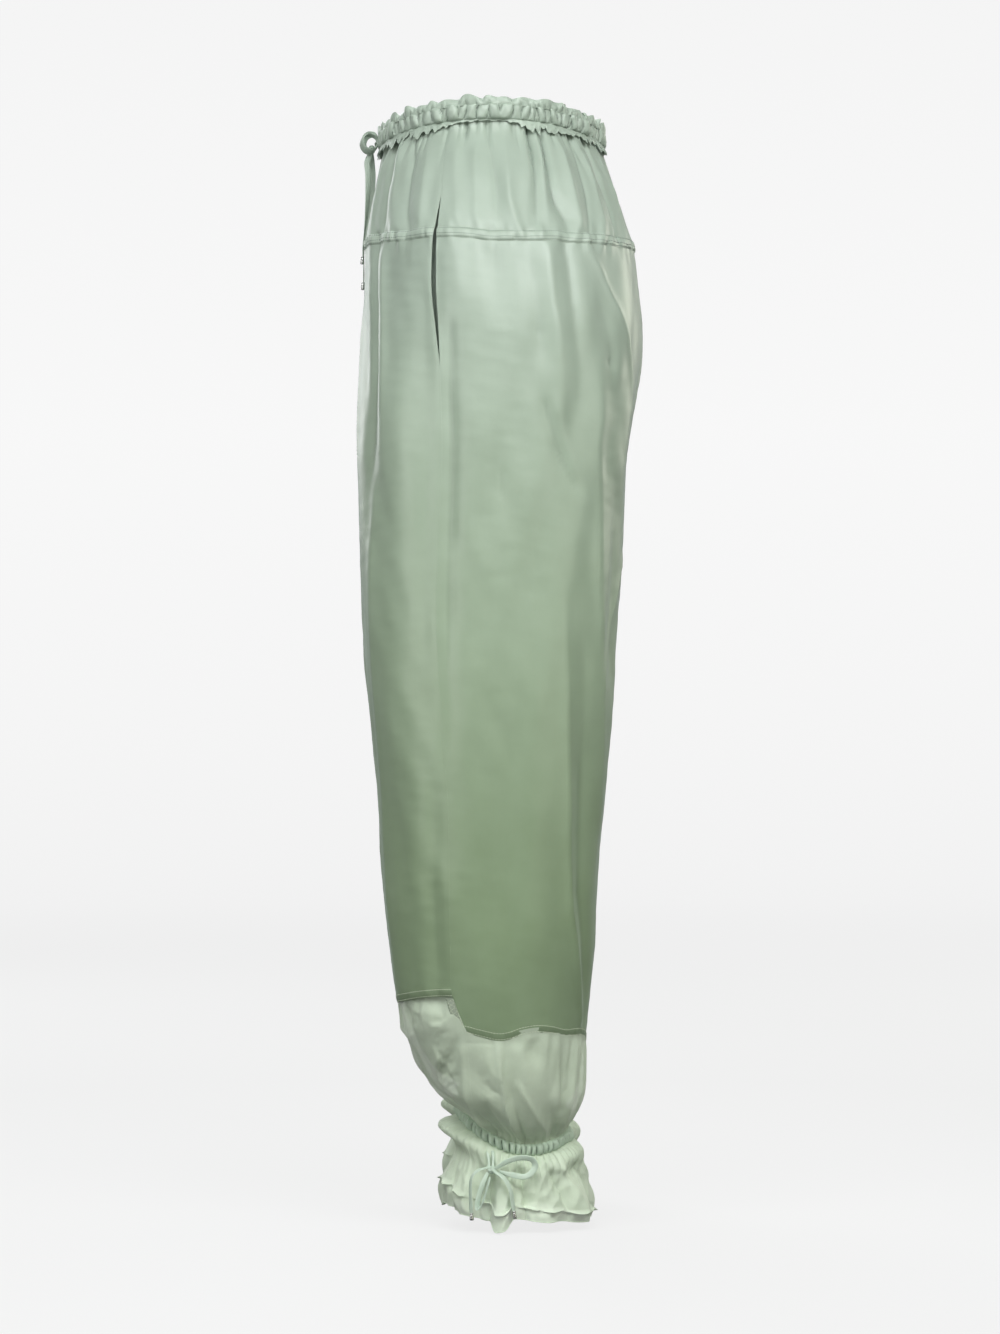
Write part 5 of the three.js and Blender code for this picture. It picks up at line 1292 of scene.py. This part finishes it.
def ruffle_point(side, t, v, seed):
    s, c = np.sin(t), np.cos(t)
    w_out, w_in = np.maximum(c, 0) ** 2, np.maximum(-c, 0) ** 2
    w_front, w_back = np.maximum(-s, 0) ** 2, np.maximum(s, 0) ** 2
    stand = (read(RUFFLE, v, 1) * w_front + read(RUFFLE, v, 2) * w_out + read(RUFFLE, v, 3) * w_back
             + read(RUFFLE, v, 4) * w_in)
    free = -979.5 + 9.0 * w_front - 2.5 * w_back - 10 * np.exp(-((wrap(t + 11 * R) / (8.0 * R)) ** 4)) + 1 * w_in
    lob_, wide_, idx_ = lobes(t, ANKLE_PINCHES[1 if seed % 2 else -1], 46.0, 0.8)
    flute = (lob_ - 0.5) * 3.2 * (1 - v) ** 2.2 * smooth(v / 0.05)
    tf = wrap(t - 7 * R * (seed - 1))
    rows_f = [([(-r[0] * 100, r[1], r[2] * (1 if seed == 1 else 0.85 + 0.3 * math.sin(r[1])), r[3]) for r in rows_], s_)
              for rows_, s_ in RUFFLE_FOLDS]
    flute = flute + 1.05 * fold_sum(rows_f, tf, -v * 100.0, 56.0 + 0 * t)
    flute += 1.5 * waves(t * 60 + 20 * v, v * 70 - 12 * t, 100 + seed, 46, 60) * smooth(v / 0.3)
    flute += 1.1 * (ridged(t * 60 + 14 * v, v * 60 - 12 * t, 110 + seed, 30, 36) - 0.5) * smooth(v / 0.3)
    free = free + 1.4 * np.sin(5 * t + seed) + 1.1 * np.sin(9 * t + 2 * seed) - 0.3 * flute * smooth((np.abs(wrap(t + 10 * R)) - 20 * R) / (10 * R))
    P = ankle_ring(side, t, 0, stand + flute)
    P[..., 2] = lerp(ankle_z(t) - ANKLE_HALF_HEIGHT + 0.6, free, v)
    return P


for side, word in ((1, "left"), (-1, "right")):
    cols = 420
    t = np.linspace(-PI, PI, cols, endpoint=False)
    g4 = np.random.default_rng(200 + side)
    slant = g4.uniform(-1.0, 1.0, 300)
    swell = g4.uniform(0.6, 1.25, 300)
    pin = ANKLE_PINCHES[side]
    rows = 13
    Q = []
    for f in np.linspace(-1, 1, rows):
        lob, wide, idx = lobes(t, pin, 45.0)
        lob, wide, idx = lobes(t + slant[idx] * f / 45.0, pin, 45.0)
        up = math.sin(f * PI / 2) * (ANKLE_HALF_HEIGHT + 0.2)
        belly = math.cos(f * PI / 2) ** 0.55
        out = 0.3 + belly * (1.3 + 4.6 * lob * (0.6 + 0.4 * swell[idx]) * np.clip(wide / 4.9, 0.6, 1.25))
        Q.append(ankle_ring(side, t, up + 0.4 * (abs(f) ** 4) * (lob - 0.5) * np.sign(f), out))
    Q += [ankle_ring(side, t, u * ANKLE_HALF_HEIGHT, 0.15) for u in (0.6, 0, -0.6)]
    ring = np.stack(Q, 0)
    F = quads(ring.shape[0], cols, True, False)
    i = np.arange(cols)
    i2 = (i + 1) % cols
    last = (ring.shape[0] - 1) * cols
    F = np.concatenate([F, np.stack([last + i, last + i2, i2, i], -1)])
    o = make(f"cloth_ankle_casing_{word}", ring.reshape(-1, 3), F, M_CASING_LOW)
    fix_normals(o)
    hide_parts(f"ankle_casing_{word}")
    print("AREA ankle casing", area(ring, True))
    # ruffle: one sheer layer with a rolled edge
    cols, rows = 560, 44
    t = np.linspace(-PI, PI, cols, endpoint=False)[None, :]
    v = (np.linspace(0, 1, rows) ** 1.0)[:, None]
    T, Vv = np.broadcast_arrays(t, v)
    P = ruffle_point(side, T, np.maximum(Vv, 0.002), 1 if side > 0 else 2)
    n = normals(P, True)
    ref = P - np.array([side * ANKLE_CX, ANKLE_CY, -950.0])
    ref[..., 2] = 0
    flip = (n * ref).sum() < 0
    F = quads(rows, cols, True, flip)
    o = make(f"cloth_ankle_ruffle_{word}", P.reshape(-1, 3), F, M_SHEER_RUFFLE)
    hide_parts(f"ankle_ruffle_{word}")
    # rolled hem: a thin tube along the free edge
    E = P[-1]
    T_ = np.roll(E, -1, 0) - np.roll(E, 1, 0)
    T_ /= np.linalg.norm(T_, axis=1, keepdims=True)
    up = np.array([0, 0, 1.0])
    w = np.cross(T_, up)
    w /= np.linalg.norm(w, axis=1, keepdims=True)
    k = 6
    tube = np.stack([E + w * 0.35 * math.cos(a) + up * 0.55 * math.sin(a) for a in np.linspace(0, 2 * PI, k, endpoint=False)], 1)
    idx = np.arange(cols)
    faces = []
    for q in range(k):
        q2 = (q + 1) % k
        faces.append(np.stack([idx * k + q, idx * k + q2, ((idx + 1) % cols) * k + q2, ((idx + 1) % cols) * k + q], -1))
    h = make(f"cloth_ruffle_edge_{word}", tube.reshape(-1, 3), np.concatenate(faces), M_SHEER_HEM)
    fix_normals(h)
    print("AREA ruffle", area(P, True))

# ------------------------------------------------------------------ pocket bags
for side, word in ((1, "left"), (-1, "right")):
    across = np.array([[0.03, 3.9], [0.5, 4.2], [0.95, 4.6], [1.0, 6.4], [0.95, 8.2], [0.5, 8.8], [-0.05, 8.6], [-0.16, 8.2]])
    u = np.linspace(0, 7, 60)
    zz = np.linspace(-58, POCKET_DEPTH_Z, 60)
    U, Z = np.meshgrid(u, zz)
    along = np.interp(U, np.arange(8), across[:, 0])
    depth = np.interp(U, np.arange(8), across[:, 1]) + 0.5 * waves(U * 20, Z, 300 + side, 60, 90)
    reach = 44 * R * (0.72 + 0.28 * np.sin(PI * np.clip((-58 - Z) / (-58 - POCKET_DEPTH_Z), 0, 1)))
    a = section(Z)[1]
    th = side_seam(Z) - (SLIT_OPEN + 1) / a - along * reach
    P = outer(side, th, Z, 0.0, 0.0)
    nrm = np.stack([side * np.cos(th), np.sin(th), np.zeros_like(th)], -1)
    P = P - nrm * depth[..., None]
    v, f = shell(P, 0.5, away=np.array([side * 90.0, 0, -180.0]), out=0.25)
    o = make(f"cloth_pocket_bag_{word}", v, f, M_BAG)
    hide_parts(f"pocket_bag_{word}")
    print("AREA bag", area(P))

flush_stitches("thread_rows", "dark", M_THREAD)
flush_stitches("thread_rows_hem", "pale", M_THREAD_PALE)

# ------------------------------------------------------------------ floor, backdrop, light
def backdrop():
    prof = [(0.0, -0.991), (1.5, -0.991), (3.0, -0.991), (4.6, -0.991), (5.4, -0.985), (5.9, -0.95), (6.3, -0.86),
            (6.6, -0.7), (6.8, -0.4), (6.95, 0.2), (7.0, 1.2), (7.0, 6.0)]
    k = 96
    verts = [(0.0, 0.0, prof[0][1])]
    for r_, z_ in prof[1:]:
        for q in range(k):
            a = 2 * PI * q / k
            verts.append((r_ * math.cos(a), r_ * math.sin(a), z_))
    faces = [(0, 1 + q, 1 + (q + 1) % k) for q in range(k)]
    for j in range(len(prof) - 2):
        for q in range(k):
            a = 1 + j * k
            faces.append((a + q, a + k + q, a + k + (q + 1) % k, a + (q + 1) % k))
    mesh = bpy.data.meshes.new("studio_floor")
    mesh.from_pydata(verts, [], faces)
    mesh.polygons.foreach_set("use_smooth", [True] * len(mesh.polygons))
    mesh.update()
    m = bpy.data.materials.new("studio")
    m.use_nodes = True
    nt = m.node_tree
    nt.nodes.clear()
    out = nt.nodes.new("ShaderNodeOutputMaterial")
    mix = nt.nodes.new("ShaderNodeMixShader")
    mix.inputs["Fac"].default_value = 0.12
    em = nt.nodes.new("ShaderNodeEmission")
    em.inputs["Strength"].default_value = 1.0
    df = nt.nodes.new("ShaderNodeBsdfDiffuse")
    df.inputs["Color"].default_value = (0.85, 0.85, 0.85, 1)
    co = nt.nodes.new("ShaderNodeTexCoord").outputs["Object"]
    sep = nt.nodes.new("ShaderNodeSeparateXYZ")
    nt.links.new(co, sep.inputs["Vector"])
    flat = nt.nodes.new("ShaderNodeCombineXYZ")
    nt.links.new(sep.outputs["X"], flat.inputs["X"])
    nt.links.new(sep.outputs["Y"], flat.inputs["Y"])
    ln = nt.nodes.new("ShaderNodeVectorMath")
    ln.operation = "LENGTH"
    nt.links.new(flat.outputs["Vector"], ln.inputs[0])

    def tones(value, low, high, stops):
        cr = nt.nodes.new("ShaderNodeMapRange")
        cr.inputs["From Min"].default_value = low
        cr.inputs["From Max"].default_value = high
        nt.links.new(value, cr.inputs["Value"])
        rp = nt.nodes.new("ShaderNodeValToRGB")
        els = rp.color_ramp.elements
        els[0].position, els[0].color = 0.0, (stops[0][1],) * 3 + (1,)
        els[1].position, els[1].color = 1.0, (stops[-1][1],) * 3 + (1,)
        for at, v in stops[1:-1]:
            e = els.new((at - low) / (high - low))
            e.color = (v, v, v, 1)
        nt.links.new(cr.outputs["Result"], rp.inputs["Fac"])
        return rp.outputs["Color"]
    floor_tone = tones(ln.outputs["Value"], 0.0, 6.6, [(0, .814), (0.7, .810), (1.3, .794), (2.2, .806), (3.8, .858), (5.2, .893), (6.6, .912)])
    wall_tone = tones(sep.outputs["Z"], -0.99, 3.0, [(-0.99, .955), (-0.8, .957), (0.1, .988), (1.2, .962), (3.0, .955)])
    rp = nt.nodes.new("ShaderNodeMixRGB")
    rp.blend_type = "MULTIPLY"
    rp.inputs["Fac"].default_value = 1.0
    nt.links.new(floor_tone, rp.inputs["Color1"])
    nt.links.new(wall_tone, rp.inputs["Color2"])
    em.inputs["Strength"].default_value = 1.15
    nt.links.new(rp.outputs["Color"], em.inputs["Color"])
    nt.links.new(em.outputs["Emission"], mix.inputs[1])
    nt.links.new(df.outputs["BSDF"], mix.inputs[2])
    nt.links.new(mix.outputs["Shader"], out.inputs["Surface"])
    mesh.materials.append(m)
    o = bpy.data.objects.new("studio_floor", mesh)
    scene.collection.objects.link(o)
    o.visible_diffuse = False
    o.visible_glossy = False
    o.visible_transmission = False
    return o


backdrop()


def area_light(name, at, to, size, power, colour=(1, 1, 1), size_y=None):
    d = bpy.data.lights.new(name, "AREA")
    d.energy = power
    d.color = colour
    d.size = size
    if size_y:
        d.shape = "RECTANGLE"
        d.size_y = size_y
    o = bpy.data.objects.new(name, d)
    scene.collection.objects.link(o)
    o.location = at
    o.rotation_euler = (Vector(to) - Vector(at)).to_track_quat("-Z", "Y").to_euler()
    return o


world = bpy.data.worlds.new("studio_air")
scene.world = world
world.use_nodes = True
bg = world.node_tree.nodes["Background"]
bg.inputs["Color"].default_value = (0.94, 0.97, 1.0, 1)
bg.inputs["Strength"].default_value = 0.13

area_light("close_front", (1.5, -0.5, 0.75), (0.14, -0.02, -0.12), 0.8, 6.0, (0.94, 0.98, 1.0))
area_light("close_back", (1.5, 0.6, 0.75), (0.14, 0.02, -0.12), 0.8, 12.5, (0.96, 0.99, 1.0))
area_light("key_top", (1.9, 0.8, 1.7), (0.12, 0.0, -0.15), 1.5, 23, (0.99, 1.0, 0.99))
area_light("top_front", (1.9, -0.9, 1.6), (0.12, 0.0, -0.20), 1.4, 22, (0.98, 1.0, 0.99))
area_light("high_near", (3.0, 0.0, 1.6), (0.1, 0.0, -0.30), 1.5, 5.5, (0.99, 1.0, 0.98))
area_light("side_back", (2.0, 2.6, 0.5), (0.1, 0.0, -0.40), 1.0, 13, (1.0, 0.99, 0.88), 2.0)
area_light("side_front", (2.6, -2.6, 0.3), (0.1, 0.0, -0.40), 1.0, 18, (0.99, 1.0, 0.96), 2.0)
area_light("near", (3.8, 0.2, 0.2), (0.1, 0.0, -0.50), 1.2, 2.2, (1.0, 1.0, 0.96))
area_light("low_back", (2.0, 2.0, -0.75), (0.1, 0.0, -0.80), 1.0, 5.0, (1.0, 0.98, 0.74))
area_light("low_front", (2.0, -1.9, -0.80), (0.1, 0.0, -0.85), 1.0, 9.0, (1.0, 1.0, 0.92))
area_light("far_top", (-1.9, -0.5, 1.7), (-0.12, 0.0, -0.15), 1.5, 44, (0.97, 1.0, 1.0))
area_light("far_front", (-2.6, -1.8, 0.4), (0.0, 0.0, -0.40), 1.2, 18, (0.98, 1.0, 0.98))
area_light("far_back", (-2.4, 2.4, 0.4), (0.0, 0.0, -0.40), 1.2, 22, (0.98, 1.0, 0.84))


total = 0
for ob in scene.objects:
    if ob.type == "MESH" and not ob.hide_render:
        ob.data.calc_loop_triangles()
        total += len(ob.data.loop_triangles)
        if len(ob.data.loop_triangles) > 60000:
            print("TRIS", ob.name, len(ob.data.loop_triangles))
print("TRIS total", total)
